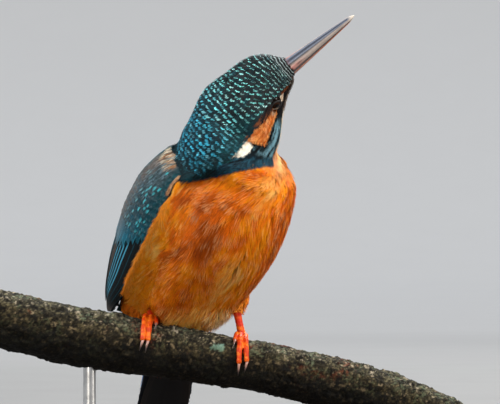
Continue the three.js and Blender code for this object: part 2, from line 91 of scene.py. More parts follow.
WING = [
    [76.0, 4.2, 3.0, 25.5, 22.0, 2.1, 99, 50],
    [70.7, 3.2, 2.3, 30.4, 25.0, 2.15, 104, 34],
    [60.1, 1.6, 1.2, 34.4, 28.0, 2.25, 109, 24],
    [48.6, 0.5, 0.4, 35.4, 29.0, 2.35, 111, 19],
    [37.1, -0.2, -0.1, 35.2, 29.2, 2.4, 109, 18],
    [26.5, -0.8, -0.6, 34.6, 28.0, 2.35, 105.5, 20],
    [17.7, -1.3, -0.9, 33.6, 26.2, 2.3, 100, 25],
    [9.7, -1.6, -1.2, 32.6, 24.4, 2.2, 90.5, 34],
    [3.5, -1.6, -1.2, 31.4, 22.8, 2.1, 78, 43],
    [-1.4, -1.6, -1.2, 30.4, 21.6, 2.1, 64, 51],
]
WING_THICK, WING_EDGE_DROP, LEFT_WING_SPREAD, LEFT_WING_TUCK = (6.4, 2.6), 2.6, 0.68, 2.2
TAIL = [
    [-12.8, 9.6, 3.0, 0],
    [-20, 11.6, 2.2, 0.8],
    [-28, 12.6, 1.5, 1.7],
    [-36, 12.9, 1.1, 2.5],
    [-41, 12.3, 0.9, 3.0],
    [-43.2, 9.8, 0.8, 3.2],
]
TAIL_DISH = 0.012
PERCH = [
    [-86.4, 69.5, 11.3],
    [-58.4, 62.8, 11.7],
    [-30.4, 57.6, 11.4],
    [-7.6, 53.6, 10.6],
    [18.0, 49.2, 10.1],
    [36.0, 45.4, 10.0],
    [56.0, 40.8, 10.2],
    [76.0, 34.4, 10.2],
    [98.0, 25.2, 9.9],
]
PERCH_Y, PERCH_X0, PERCH_HEADING = 3.0, -6.0, 10
FEET = {
    "right": (
        -23.6,
        [-24.9, -1.9, 74.6],
        {
            "outer": [-25.6, -26.7, 10, 77, 1.15, -27.9, 96],
            "middle": [-23.5, -24.6, 10, 76, 1.15, -25.7, 98],
            "inner": [-22.0, -21.5, 8, 34, 1.05, -21.6, 52],
            "hind": [-23.6, -24.6, -14, -60, 1.1, -25.2, -84],
        },
    ),
    "left": (
        12.7,
        [10.7, 7.2, 71.4],
        {
            "outer": [14.0, 14.7, 10, 84, 1.15, 13.7, 106],
            "middle": [12.1, 11.6, 10, 90, 1.15, 11.2, 114],
            "inner": [10.9, 10.0, 8, 38, 1.05, 9.3, 60],
            "hind": [12.4, 11.8, -14, -62, 1.1, 11.4, -86],
        },
    ),
}
THIGH = {
    "right": [[-12, 4, 92, 11], [-20, 6, 86, 11.5], [-25.4, 8.4, 79, 9.8], [-28.4, 10.2, 72.5, 7.4], [-30, 11.4, 66.8, 4.6]],
    "left": [[0, 9, 88, 10], [7, 9.6, 82, 9.0], [10.6, 8.6, 76.5, 5.4], [11.0, 7.6, 73, 2.9], [10.9, 7.3, 71.2, 2.0]],
}
SIDES = {"right": -1, "left": 1}


def unit(v):
    v = np.asarray(v, float)
    return v / np.maximum(np.linalg.norm(v, axis=-1, keepdims=True), 1e-12)


def dot(a, b):
    return np.sum(a * b, -1, keepdims=True)


def spline(rows, s):
    T = np.asarray(rows, float)
    s = np.clip(np.asarray(s, float), 0, len(T) - 1 - 1e-9)
    i = np.floor(s).astype(int)
    u = (s - i)[..., None]
    ext = np.concatenate([[2 * T[0] - T[1]], T, [2 * T[-1] - T[-2]]])
    p0, p1, p2, p3 = ext[i], ext[i + 1], ext[i + 2], ext[np.minimum(i + 3, len(ext) - 1)]
    return 0.5 * (2 * p1 + (p2 - p0) * u + (2 * p0 - 5 * p1 + 4 * p2 - p3) * u * u + (3 * p1 - p0 - 3 * p2 + p3) * u**3)


UPZ = np.array([0, 0, 1.0])
facing = np.array([np.sin(R(YAW)), -np.cos(R(YAW)), 0])
bodyUp = facing * np.cos(R(LEAN)) + UPZ * np.sin(R(LEAN))
bodyFront = facing * np.sin(R(LEAN)) - UPZ * np.cos(R(LEAN))
bodyBack = -bodyFront
bodyLeft = np.array([np.cos(R(YAW)), np.sin(R(YAW)), 0])
billDir = np.array(
    [
        np.cos(R(BILL_RISE)) * np.cos(R(BILL_HEADING)),
        np.cos(R(BILL_RISE)) * np.sin(R(BILL_HEADING)),
        np.sin(R(BILL_RISE)),
    ]
)
toViewer = unit(np.array([0, -1.0, 0]) + billDir * billDir[1])
upLeft = unit(np.cross(toViewer, billDir))
crownDir = toViewer * np.cos(R(HEAD_ROLL)) + upLeft * np.sin(R(HEAD_ROLL))
headLeft = unit(np.cross(crownDir, billDir))


def in_body(u, l, f):
    u, l, f = [np.asarray(a, float)[..., None] for a in np.broadcast_arrays(u, l, f)]
    return VENT + bodyUp * u + bodyLeft * l + bodyFront * f


SEC = []
for x_, right_, down_, a_, crown_, throat_, n_, w_ in HEAD:
    SEC.append([*(BILL_BASE - billDir * x_ - headLeft * right_ - crownDir * down_), w_, a_, crown_, throat_, n_])
for u_, l_, f_, a_, back_, front_, n_, w_ in NECK:
    SEC.append([*in_body(u_, l_, f_), w_, a_, back_, front_, n_])
for i_, (u_, l_, f_, a_, back_, front_, n_) in enumerate(TRUNK):
    SEC.append([*in_body(u_, l_, f_), TRUNK_SET[i_] if i_ < 2 else 0, a_, back_, front_, n_])
SEC = np.array(SEC)
TURN = np.arccos(np.clip(crownDir @ bodyBack, -1, 1))


def body(s, th, off=0.0):
    """The outer form of head, neck and trunk: s from the bill's base to the tail's root, th round it
    from the spine, positive on the bird's left, in radians."""
    s, th, off = np.broadcast_arrays(np.asarray(s, float), np.asarray(th, float), np.asarray(off, float))
    q = spline(SEC, s)
    w = np.clip(q[..., 3], 0, 1)[..., None]
    al = unit(-billDir * w - bodyUp * (1 - w))
    D = crownDir * np.sin(w * TURN) / np.sin(TURN) + bodyBack * np.sin((1 - w) * TURN) / np.sin(TURN)
    D = unit(D - dot(D, al) * al)
    L = np.cross(al, D)
    c, sn, n = np.cos(th), np.sin(th), q[..., 7]
    k = (np.abs(c) ** n + np.abs(sn) ** n) ** (-1 / n)
    rd = np.where(c > 0, q[..., 5], q[..., 6]) + off
    a = q[..., 4] + off
    return q[..., :3] + D * (rd * c * k)[..., None] + L * (a * sn * k)[..., None]


def wing_of(side):
    def surf(s, v, off=0.0):
        s, v, off = np.broadcast_arrays(np.asarray(s, float), np.asarray(v, float), np.asarray(off, float))
        q = spline(WING, s)
        u, l, f, a, back, n, t0, t1 = [q[..., i] for i in range(8)]
        lead = t1 + (t0 - t1) * LEFT_WING_SPREAD if side > 0 else t0
        th = R(lead + (t1 - lead) * v)
        c, sn = np.cos(th), np.sin(th) * side
        k = (np.abs(c) ** n + np.abs(sn) ** n) ** (-1 / n)
        o = off - (LEFT_WING_TUCK if side > 0 else 0) - WING_EDGE_DROP * np.clip(np.abs(2 * v - 1), 0, 1) ** 4
        return (
            in_body(u, l, f)
            + bodyBack * ((np.where(c > 0, back, 27) + o) * c * k)[..., None]
            + bodyLeft * ((a + o) * sn * k)[..., None]
        )

    return surf


def tail_of(face):
    """face +1: the upper side, away from the belly. x runs -1..1 across."""

    def surf(s, x, off=0.0):
        s, x, off = np.broadcast_arrays(np.asarray(s, float), np.asarray(x, float), np.asarray(off, float))
        q = spline(TAIL, s)
        u, half, thick, shift = [q[..., i] for i in range(4)]
        xx = np.clip(np.abs(x), 0, 0.999)
        y = (1 - xx**2.6) ** (1 / 2.6)
        return in_body(u, shift + half * x, -face * (thick * y + off) + TAIL_DISH * (half * x) ** 2)

    return surf


def thigh_of(side):
    rows = THIGH[side] + [[2 * a - b for a, b in zip(THIGH[side][-1], THIGH[side][-2])]]
    rows[-1][3] = 0.75 * rows[-2][3]

    def surf(s, ph, off=0.0):
        s, ph, off = np.broadcast_arrays(np.asarray(s, float), np.asarray(ph, float), np.asarray(off, float))
        q = spline(rows, s)
        t = unit(spline(rows, np.minimum(s + 0.02, 5))[..., :3] - spline(rows, np.maximum(s - 0.02, 0))[..., :3])
        a = unit(np.cross(t, np.array([1.0, 0, 0])))
        b = np.cross(t, a)
        r = (q[..., 3] + off)[..., None]
        return q[..., :3] + a * r * np.cos(ph)[..., None] + b * r * np.sin(ph)[..., None]

    return surf


# ------------------------------------------------------------------ noise
def _hash(i, j, k, seed):
    h = (i * 374761393 + j * 668265263 + k * 1442695041 + seed * 97561) & 0xFFFFFFFF
    h = ((h ^ (h >> 13)) * 1274126177) & 0xFFFFFFFF
    h = ((h ^ (h >> 16)) * 2246822519) & 0xFFFFFFFF
    return ((h ^ (h >> 15)) & 0xFFFFFFFF) / 4294967295.0


def noise(P, size, seed=0):
    """Smooth value noise, 0..1, with cells of the given size."""
    Q = np.asarray(P, float) / size
    I = np.floor(Q).astype(np.int64)
    f = Q - I
    f = f * f * (3 - 2 * f)
    out = 0
    for dx in (0, 1):
        for dy in (0, 1):
            for dz in (0, 1):
                wgt = (
                    (f[..., 0] if dx else 1 - f[..., 0])
                    * (f[..., 1] if dy else 1 - f[..., 1])
                    * (f[..., 2] if dz else 1 - f[..., 2])
                )
                out = out + wgt * _hash(I[..., 0] + dx, I[..., 1] + dy, I[..., 2] + dz, seed)
    return out


def fbm(P, size, seed=0, octaves=4, gain=0.5):
    out, amp, tot = 0, 1.0, 0.0
    for o in range(octaves):
        out = out + amp * noise(P, size / 2**o, seed + o * 17)
        tot += amp
        amp *= gain
    return out / tot


# ------------------------------------------------------------------ colours
def rgb(*c):
    """sRGB 0..255 to linear."""
    c = np.asarray(c, float) / 255
    return np.where(c <= 0.04045, c / 12.92, ((c + 0.055) / 1.055) ** 2.4)


def lerp(a, b, t):
    t = np.clip(np.asarray(t, float), 0, 1)[..., None]
    return a * (1 - t) + b * t


def smooth(x, a, b):
    t = np.clip((np.asarray(x, float) - a) / (b - a), 0, 1)
    return t * t * (3 - 2 * t)


# ------------------------------------------------------------------ meshes
def raw_mesh(name, V, quads=None, tris=None, scale=0.001):
    nq = 0 if quads is None else len(quads)
    nt = 0 if tris is None else len(tris)
    loops = np.concatenate([a.ravel() for a in (quads, tris) if a is not None and len(a)])
    starts = np.concatenate([np.arange(nq) * 4, nq * 4 + np.arange(nt) * 3])
    me = bpy.data.meshes.new(name)
    me.vertices.add(len(V))
    me.vertices.foreach_set("co", (np.asarray(V) * scale).astype(np.float32).ravel())
    me.loops.add(len(loops))
    me.loops.foreach_set("vertex_index", loops.astype(np.int32))
    me.polygons.add(nq + nt)
    me.polygons.foreach_set("loop_start", starts.astype(np.int32))
    me.update(calc_edges=True)
    me.polygons.foreach_set("use_smooth", np.ones(nq + nt, bool))
    return me, loops


def add_colour(me, C, name="tone"):
    ca = me.color_attributes.new(name, "FLOAT_COLOR", "POINT")
    out = np.ones((len(me.vertices), 4), np.float32)
    out[:, :3] = np.clip(C, 0, 1)
    ca.data.foreach_set("color", out.ravel())


def add_uv(me, loops, uv, name):
    layer = me.uv_layers.new(name=name)
    layer.data.foreach_set("uv", np.asarray(uv, np.float32)[loops].ravel())


BODY = next(iter(frame["bodies"]))


def place(name, me, mat, replaces=()):
    ob = bpy.data.objects.new(name, me)
    bpy.context.scene.collection.objects.link(ob)
    me.materials.clear()
    for m in mat if isinstance(mat, (list, tuple)) else [mat]:
        me.materials.append(m)
    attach(ob, BODY)
    if replaces:
        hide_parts(*replaces)
    return ob


def grid_quads(rows, cols, wrap=False, base=0):
    r = np.arange(rows - 1)[:, None]
    c = np.arange(cols if wrap else cols - 1)[None, :]
    c1 = (c + 1) % cols
    return (
        np.stack([r * cols + c, (r + 1) * cols + c, (r + 1) * cols + c1, r * cols + c1], -1).reshape(-1, 4) + base
    )


def capped(G):
    """A closed tube from a (rings, around, 3) grid: (V, quads, tris)."""
    m, n = G.shape[:2]
    V = np.concatenate([G.reshape(-1, 3), G[:1].mean(1), G[-1:].mean(1)])
    q = grid_quads(m, n, wrap=True)
    j = np.arange(n)
    j1 = (j + 1) % n
    a, b = m * n, m * n + 1
    t0 = np.stack([np.full(n, a), j, j1], -1)
    t1 = np.stack([np.full(n, b), (m - 1) * n + j1, (m - 1) * n + j], -1)
    return V, q, np.concatenate([t0, t1])


def signed(V, q, t):
    """Turns the faces outward if the closed form's volume is negative."""
    T = np.concatenate([q[:, [0, 1, 2]], q[:, [0, 2, 3]], t]) if len(t) else np.concatenate([q[:, [0, 1, 2]], q[:, [0, 2, 3]]])
    vol = np.sum(V[T[:, 0]] * np.cross(V[T[:, 1]], V[T[:, 2]]))
    return (V, q, t) if vol > 0 else (V, q[:, ::-1], t[:, ::-1])


def join(forms):
    Vs, Qs, Ts, n = [], [], [], 0
    for V, q, t in forms:
        Vs.append(V)
        Qs.append(q + n)
        Ts.append(t + n)
        n += len(V)
    return np.concatenate(Vs), np.concatenate(Qs), np.concatenate(Ts)


def remeshed(name, V, q, t, voxel, smooth_steps=0):
    """One closed skin round overlapping closed forms."""
    me, _ = raw_mesh(name + "_raw", V, q, t, scale=1.0)
    ob = bpy.data.objects.new(name + "_raw", me)
    bpy.context.scene.collection.objects.link(ob)
    mod = ob.modifiers.new("r", "REMESH")
    mod.mode = "VOXEL"
    mod.voxel_size = voxel
    mod.adaptivity = 0
    mod.use_smooth_shade = True
    if smooth_steps:
        sm = ob.modifiers.new("s", "SMOOTH")
        sm.factor = 0.5
        sm.iterations = smooth_steps
    dg = bpy.context.evaluated_depsgraph_get()
    out = bpy.data.meshes.new_from_object(ob.evaluated_get(dg))
    bpy.data.objects.remove(ob)
    bpy.data.meshes.remove(me)
    out.name = name
    n = len(out.vertices)
    P = np.zeros(n * 3, np.float32)
    out.vertices.foreach_get("co", P)
    P = P.reshape(-1, 3).astype(float)
    out.vertices.foreach_set("co", (P * 0.001).astype(np.float32).ravel())
    loops = np.zeros(len(out.loops), np.int32)
    out.loops.foreach_get("vertex_index", loops)
    out.polygons.foreach_set("use_smooth", np.ones(len(out.polygons), bool))
    return out, P, loops


# =========================================================== materials
def new_mat(name):
    m = bpy.data.materials.new(name)
    m.use_nodes = True
    nt = m.node_tree
    nt.nodes.clear()
    out = nt.nodes.new("ShaderNodeOutputMaterial")
    p = nt.nodes.new("ShaderNodeBsdfPrincipled")
    nt.links.new(p.outputs[0], out.inputs[0])
    return m, nt, p


def node(nt, kind, **kw):
    n = nt.nodes.new(kind)
    for k, v in kw.items():
        setattr(n, k, v)
    return n


def feed(nt, n, **kw):
    for k, v in kw.items():
        k = k.replace("_", " ")
        if isinstance(v, bpy.types.NodeSocket):
            nt.links.new(v, n.inputs[k])
        else:
            n.inputs[k].default_value = v


def math_node(nt, op, a, b=None, c=None, clamp=False):
    n = node(nt, "ShaderNodeMath", operation=op, use_clamp=clamp)
    for i, x in enumerate((a, b, c)):
        if x is None:
            continue
        if isinstance(x, bpy.types.NodeSocket):
            nt.links.new(x, n.inputs[i])
        else:
            n.inputs[i].default_value = x
    return n.outputs[0]


def mix_rgb(nt, fac, a, b, blend="MIX"):
    n = node(nt, "ShaderNodeMix", data_type="RGBA", blend_type=blend)
    for sock, x in ((n.inputs[0], fac), (n.inputs[6], a), (n.inputs[7], b)):
        if isinstance(x, bpy.types.NodeSocket):
            nt.links.new(x, sock)
        else:
            sock.default_value = x if isinstance(x, (int, float)) else (*x[:3], 1.0)
    return n.outputs[2]


def ramp(nt, fac, stops, interp="LINEAR"):
    n = node(nt, "ShaderNodeValToRGB")
    n.color_ramp.interpolation = interp
    els = n.color_ramp.elements
    while len(els) > 1:
        els.remove(els[-1])
    els[0].position, els[0].color = stops[0][0], (*stops[0][1], 1)
    for pos, col in stops[1:]:
        e = els.new(pos)
        e.color = (*col, 1)
    nt.links.new(fac, n.inputs[0])
    return n.outputs[0]


def grey(v):
    return (v, v, v)


def object_noise(nt, size_mm, detail=3.0, rough=0.55, distort=0.0, stretch=None):
    """Noise over the object's own coordinates: size in millimetres."""
    tc = node(nt, "ShaderNodeTexCoord")
    src = tc.outputs["Object"]
    if stretch is not None:
        mp = node(nt, "ShaderNodeMapping")
        mp.inputs["Scale"].default_value = stretch
        nt.links.new(src, mp.inputs[0])
        src = mp.outputs[0]
    n = node(nt, "ShaderNodeTexNoise")
    feed(nt, n, Vector=src, Scale=1000.0 / size_mm, Detail=detail, Roughness=rough, Distortion=distort)
    return n.outputs[0]


def plumage(name, roughness=0.6, specular=0.35, sheen=0.25, barbs=26.0, slope=1.3, bump=0.5, vary=0.22, coat=0.0):
    """Vertex tone with fine barbs: the vane map's u runs across (0.5 is the shaft), v along."""
    m, nt, p = new_mat(name)
    tone = node(nt, "ShaderNodeAttribute", attribute_name="tone")
    uv = node(nt, "ShaderNodeUVMap", uv_map="vane")
    sep = node(nt, "ShaderNodeSeparateXYZ")
    nt.links.new(uv.outputs[0], sep.inputs[0])
    across = math_node(nt, "ABSOLUTE", math_node(nt, "SUBTRACT", sep.outputs[0], 0.5))
    # barbs leave the shaft towards the tip on both sides
    phase = math_node(nt, "SUBTRACT", sep.outputs[1], math_node(nt, "MULTIPLY", across, slope))
    wave = math_node(nt, "SINE", math_node(nt, "MULTIPLY", phase, barbs))
    fine = object_noise(nt, 0.45, 2.0)
    height = math_node(nt, "ADD", math_node(nt, "MULTIPLY", wave, 0.35), fine)
    b = node(nt, "ShaderNodeBump")
    feed(nt, b, Strength=bump, Distance=0.0002, Height=height)
    nt.links.new(b.outputs[0], p.inputs["Normal"])
    coarse = object_noise(nt, 1.3, 3.0)
    k = math_node(nt, "ADD", math_node(nt, "MULTIPLY", coarse, vary * 2), math_node(nt, "MULTIPLY", wave, vary * 0.25))
    k = math_node(nt, "ADD", k, 1.0 - vary)
    shade = node(nt, "ShaderNodeVectorMath", operation="SCALE")
    nt.links.new(tone.outputs["Color"], shade.inputs[0])
    nt.links.new(k, shade.inputs["Scale"])
    nt.links.new(shade.outputs[0], p.inputs["Base Color"])
    p.inputs["Roughness"].default_value = roughness
    p.inputs["Specular IOR Level"].default_value = specular
    p.inputs["Sheen Weight"].default_value = sheen
    p.inputs["Sheen Roughness"].default_value = 0.45
    p.inputs["Sheen Tint"].default_value = (1.0, 0.9, 0.8, 1)
    if coat:
        p.inputs["Coat Weight"].default_value = coat
        p.inputs["Coat Roughness"].default_value = 0.35
    return m


MAT = {}
MAT["down"] = plumage("plumage_soft", roughness=0.6, specular=0.12, sheen=0.0, barbs=0.0, bump=0.25, vary=0.15)
MAT["scale"] = plumage("plumage_scales", roughness=0.5, specular=0.16, sheen=0.0, barbs=46.0, slope=1.1, bump=0.55, vary=0.24)
MAT["flight"] = plumage("plumage_flight", roughness=0.5, specular=0.14, sheen=0.0, barbs=300.0, slope=0.32, bump=0.45, vary=0.12)

# =========================================================== laying feathers
def frame_at(surf, s, t, es=0.01, et=0.01):
    P = surf(s, t, 0.0)
    Ps = (surf(s + es, t, 0.0) - surf(s - es, t, 0.0)) / (2 * es)
    Pt = (surf(s, t + et, 0.0) - surf(s, t - et, 0.0)) / (2 * et)
    N = np.cross(Ps, Pt)
    N = unit(N * np.sign(dot(N, surf(s, t, 1.0) - P)))
    return P, Ps, Pt, N


class Coat:
    """Gathers feathers, then writes them as meshes under the triangle limit."""

    def __init__(self, name, mat, slot, s_span, t_span):
        self.name, self.mat, self.slot = name, mat, slot
        self.s_span, self.t_span = s_span, t_span
        self.V, self.C, self.U, self.W, self.shape = [], [], [], [], []

    def add(self, V, C, s, t, across, along):
        """V, C: (feathers, rows, cols, 3); s, t: root; across -1..1, along 0..1 (rows, cols)."""
        N, r, c = V.shape[:3]
        if not N:
            return
        u = (t - self.t_span[0]) / (self.t_span[1] - self.t_span[0])
        v = (s - self.s_span[0]) / (self.s_span[1] - self.s_span[0])
        root = 0.01 + 0.98 * np.clip(np.stack([u, v], -1), 0, 1)
        across, along = np.broadcast_to(across, (r, c)), np.broadcast_to(along, (r, c))
        patch = np.stack([across * 0.0014, (along - 0.5) * 0.0028], -1)
        self.U.append((root[:, None, None, :] + patch[None]).reshape(-1, 2))
        self.W.append(np.broadcast_to(np.stack([across * 0.5 + 0.5, along], -1), (N, r, c, 2)).reshape(-1, 2))
        self.V.append(V.reshape(-1, 3))
        self.C.append(np.broadcast_to(C, V.shape).reshape(-1, 3))
        self.shape.append((N, r, c))

    def build(self, limit=190000):
        chunks, now, tris = [], [], 0
        at = 0
        for (N, r, c), V, C, U, W in zip(self.shape, self.V, self.C, self.U, self.W):
            each = (r - 1) * (c - 1) * 2
            done = 0
            while done < N:
                take = min(N - done, max(0, (limit - tris) // each))
                if take == 0:
                    chunks.append(now)
                    now, tris = [], 0
                    continue
                sl = slice(done * r * c, (done + take) * r * c)
                now.append((take, r, c, V[sl], C[sl], U[sl], W[sl]))
                tris += take * each
                done += take
        if now:
            chunks.append(now)
        made = []
        for i, chunk in enumerate(chunks):
            Vs, Qs, Cs, Us, Ws, n = [], [], [], [], [], 0
            for N, r, c, V, C, U, W in chunk:
                q = grid_quads(r, c)
                Qs.append((q[None] + (np.arange(N) * r * c)[:, None, None] + n).reshape(-1, 4))
                Vs.append(V)
                Cs.append(C)
                Us.append(U)
                Ws.append(W)
                n += N * r * c
            name = self.name if len(chunks) == 1 else f"{self.name}_{i + 1}"
            me, loops = raw_mesh(name, np.concatenate(Vs), np.concatenate(Qs))
            add_colour(me, np.concatenate(Cs))
            add_uv(me, loops, np.concatenate(Us), "OFBake")
            add_uv(me, loops, np.concatenate(Ws), "vane")
            made.append(place(name, me, MAT[self.mat]))
            COUNT[name] = len(me.polygons) * 2
        return made


COUNT = {}


def lay(surf, s, t, alpha, length, width, rows, prof, cols, off0, off1, sgn, bend=0.0, cup=0.12, rise=0.8, s_lim=None, tip_curl=0.0, es=0.01):
    """Vertices of vanes that follow a surface. alpha turns the lie from +s towards +t*sgn."""
    P, Ps, Pt, N = frame_at(surf, s, t, es)
    e1 = unit(Ps)
    T2 = unit(Pt - dot(Pt, e1) * e1) * np.broadcast_to(sgn, s.shape)[:, None]
    ca, sa = np.cos(alpha)[:, None], np.sin(alpha)[:, None]
    F = ca * e1 + sa * T2
    G = np.cross(N, F)
    a11, a12, a22 = dot(Ps, Ps)[:, 0], dot(Ps, Pt)[:, 0], dot(Pt, Pt)[:, 0]
    det = np.maximum(a11 * a22 - a12 * a12, 1e-9)

    def solve(D):
        b1, b2 = dot(D, Ps)[:, 0], dot(D, Pt)[:, 0]
        return (b1 * a22 - b2 * a12) / det, (b2 * a11 - b1 * a12) / det

    Fs, Ft = solve(F)
    Gs, Gt = solve(G)
    e = lambda x: np.broadcast_to(np.asarray(x, float), s.shape)[:, None, None]
    a = np.asarray(rows)[None, :, None]
    c = np.asarray(cols)[None, None, :]
    p = np.asarray(prof)[None, :, None]
    x = a * e(length)
    y = c * p * e(width) * 0.5 + e(bend) * a * a * e(length)
    x, y = np.broadcast_arrays(x, y)
    S = s[:, None, None] + x * e(Fs) + y * e(Gs)
    T = t[:, None, None] + x * e(Ft) + y * e(Gt)
    if s_lim is not None:
        S = np.clip(S, *s_lim)
    off = e(off0) + (e(off1) - e(off0)) * a**rise - e(cup) * (c * p) ** 2 * e(width) + e(tip_curl) * a**4
    off = np.broadcast_to(off, S.shape)
    return surf(S, T, off)


def scatter(surf, s0, s1, t0, t1, density, ns, nt):
    """Roots over a surface at a density per square millimetre, one jittered try a cell."""
    ds, dt = (s1 - s0) / ns, (t1 - t0) / nt
    S, T = np.meshgrid(s0 + ds * (np.arange(ns) + 0.5), t0 + dt * (np.arange(nt) + 0.5), indexing="ij")
    S, T = S.ravel(), T.ravel()
    Ps = (surf(S + ds / 2, T) - surf(S - ds / 2, T)) / ds
    Pt = (surf(S, T + dt / 2) - surf(S, T - dt / 2)) / dt
    area = np.linalg.norm(np.cross(Ps, Pt), axis=-1) * ds * dt
    want = area * (density(S, T) if callable(density) else density)
    k = np.floor(want + rng.random(len(S))).astype(int)
    S, T = np.repeat(S, k), np.repeat(T, k)
    return S + (rng.random(len(S)) - 0.5) * ds, T + (rng.random(len(S)) - 0.5) * dt


def arc_rows(surf, s0, s1, t, spacing):
    ss = np.linspace(s0, s1, 1500)
    P = surf(ss, np.full_like(ss, t))
    d = np.concatenate([[0], np.cumsum(np.linalg.norm(np.diff(P, axis=0), axis=1))])
    out, at = [], 0.0
    while at < d[-1]:
        s = np.interp(at, d, ss)
        out.append(s)
        at += spacing(s)
    return np.array(out)


def row_roots(surf, rows, t0, t1, spacing, jitter=0.12):
    """Quincunx roots along each row."""
    S, T = [], []
    tt = np.linspace(t0, t1, 400)
    for i, s in enumerate(rows):
        P = surf(np.full_like(tt, s), tt)
        d = np.concatenate([[0], np.cumsum(np.linalg.norm(np.diff(P, axis=0), axis=1))])
        w = spacing(s)
        n = max(2, int(round(d[-1] / w)))
        at = (np.arange(n) + (0.25 if i % 2 else 0.75)) / n * d[-1]
        at = at + (rng.random(n) - 0.5) * w * jitter * 2
        T.append(np.interp(at, d, tt))
        S.append(np.full(n, s))
    return np.concatenate(S), np.concatenate(T)


def blades(coat, surf, s, t, alpha, length, width, colour, n=5, spread=0.5, fan=0.12, off=(-1.4, 0.0), sgn=None, tip=None, root=None, bend=0.0, lift=0.15, rows=(0, 0.35, 0.7, 1.0), prof=(0.7, 1.0, 0.75, 0.12), es=0.01, s_lim=None, roll=0.3, slide=0.0, arc=0.0, vary=0.13, skew=0.0):
    """Tufts of n narrow strands each. colour: (N,3) or callable(s, t). roll tips each strand about its own
    line, slide shifts its start, arc sets the outer strands back, skew sets one side back."""
    N = len(s)
    if not N:
        return
    sgn = np.sign(t) if sgn is None else np.broadcast_to(sgn, s.shape)
    b = lambda x: np.repeat(np.broadcast_to(np.asarray(x, float), s.shape), n)
    j = np.tile(np.linspace(-1, 1, n), N)
    r = lambda k=1.0: (rng.random(N * n) - 0.5) * 2 * k
    L = b(length) * (1 + r(0.16) - 0.12 * j * j)
    W = b(width)
    shift = (j + r(0.25)) * b(spread)
    al = b(alpha) + j * fan + r(0.07)
    S, T = b(s), b(t)
    o0 = b(off[0]) + r(0.12)
    o1 = b(off[1]) + r(lift)
    start = r(1.0) * b(slide) - b(arc) * j * j + b(skew) * j
    V = lay_shifted(surf, S, T, al, L, W, rows, prof, (-1, 1), o0, o1, b(sgn), b(bend) + r(0.06), 0.0, shift, es, s_lim, 0.8, r(1.0) * b(roll), start)
    C = colour if not callable(colour) else colour(s, t)
    C = np.repeat(C, n, axis=0)
    C = C * (1 + r(vary))[:, None]
    a = np.asarray(rows)[None, :, None, None]
    Cr = C if root is None else np.repeat(root, n, axis=0)
    Ct = C * 1.08 if tip is None else np.repeat(tip, n, axis=0)
    # painted shade: each strand darkens towards its root, where the tufts overlap, and turns to its tip colour towards
    # the end
    ka = np.clip(a / 0.4, 0, 1)
    kb = np.clip((a - 0.55) / 0.45, 0, 1)
    CC = Cr[:, None, None] * (1 - ka) * 0.8 + C[:, None, None] * ka
    CC = CC * (1 - kb) + Ct[:, None, None] * kb
    CC = np.broadcast_to(CC, V.shape)
    coat.add(V, CC, S, T, np.array([[-1.0, 1.0]]), np.asarray(rows)[:, None])


def lay_shifted(surf, s, t, alpha, length, width, rows, prof, cols, off0, off1, sgn, bend, cup, shift, es, s_lim, rise=0.8, roll=0.0, start=0.0):
    P, Ps, Pt, N = frame_at(surf, s, t, es)
    e1 = unit(Ps)
    T2 = unit(Pt - dot(Pt, e1) * e1) * sgn[:, None]
    F = np.cos(alpha)[:, None] * e1 + np.sin(alpha)[:, None] * T2
    G = np.cross(N, F)
    a11, a12, a22 = dot(Ps, Ps)[:, 0], dot(Ps, Pt)[:, 0], dot(Pt, Pt)[:, 0]
    det = np.maximum(a11 * a22 - a12 * a12, 1e-9)

    def solve(D):
        b1, b2 = dot(D, Ps)[:, 0], dot(D, Pt)[:, 0]
        return (b1 * a22 - b2 * a12) / det, (b2 * a11 - b1 * a12) / det

    Fs, Ft = solve(F)
    Gs, Gt = solve(G)
    e = lambda x: np.broadcast_to(np.asarray(x, float), s.shape)[:, None, None]
    a, c, p = np.asarray(rows)[None, :, None], np.asarray(cols)[None, None, :], np.asarray(prof)[None, :, None]
    x = a * e(length) + e(start)
    y = c * p * e(width) * 0.5 + e(bend) * a * a * e(length) + e(shift)
    x, y = np.broadcast_arrays(x, y)
    S = s[:, None, None] + x * e(Fs) + y * e(Gs)
    T = t[:, None, None] + x * e(Ft) + y * e(Gt)
    if s_lim is not None:
        S = np.clip(S, *s_lim)
    off = e(off0) + (e(off1) - e(off0)) * a**rise - e(cup) * (c * p) ** 2 * e(width) + c * p * e(width) * 0.5 * e(roll)
    return surf(S, T, np.broadcast_to(off, S.shape))


# =========================================================== markings of head and trunk
CROWN_S = [0, 1.0, 1.85, 2.48, 2.85, 3.18, 3.6, 4.0, 4.55, 4.95, 5.62, 6.0, 6.45, 7.15, 7.6, 8.05, 8.75, 9.22, 9.5, 9.62]
CROWN_A = [80, 93, 98, 91, 86, 81, 74, 69, 61, 58, 66, 75, 82, 91.5, 99, 106, 104, 99, 93, 80]
EAR_UP = ([3.6, 3.9, 4.23, 4.83, 5.28, 5.75], [82, 78, 73, 66, 67.5, 74])
EAR_LOW = ([3.6, 4.0, 4.58, 5.0, 5.43, 5.75], [96, 95, 89.5, 92, 100, 98])
EAR_END = ([60, 74, 80, 92, 101, 110], [5.78, 5.75, 5.73, 5.56, 5.45, 5.3])
WHITE_UP = ([5.6, 5.88, 6.45, 7.15], [72, 75, 82, 91.5])
WHITE_LOW = ([5.6, 5.83, 6.18, 6.78, 7.15], [86, 88, 90.5, 92.5, 92])
MALAR_LOW = ([1.5, 3.5, 4.5, 5.5, 5.95, 6.12, 6.28, 6.93, 7.6, 8.05], [113, 121, 131, 133, 129, 121, 114, 108.5, 107.5, 106.5])
crown_edge = lambda s: np.interp(s, CROWN_S, CROWN_A)
malar_low = lambda s: np.interp(s, *MALAR_LOW)


def deg(t):
    return np.degrees(np.abs((t + PI) % (2 * PI) - PI))


form = body


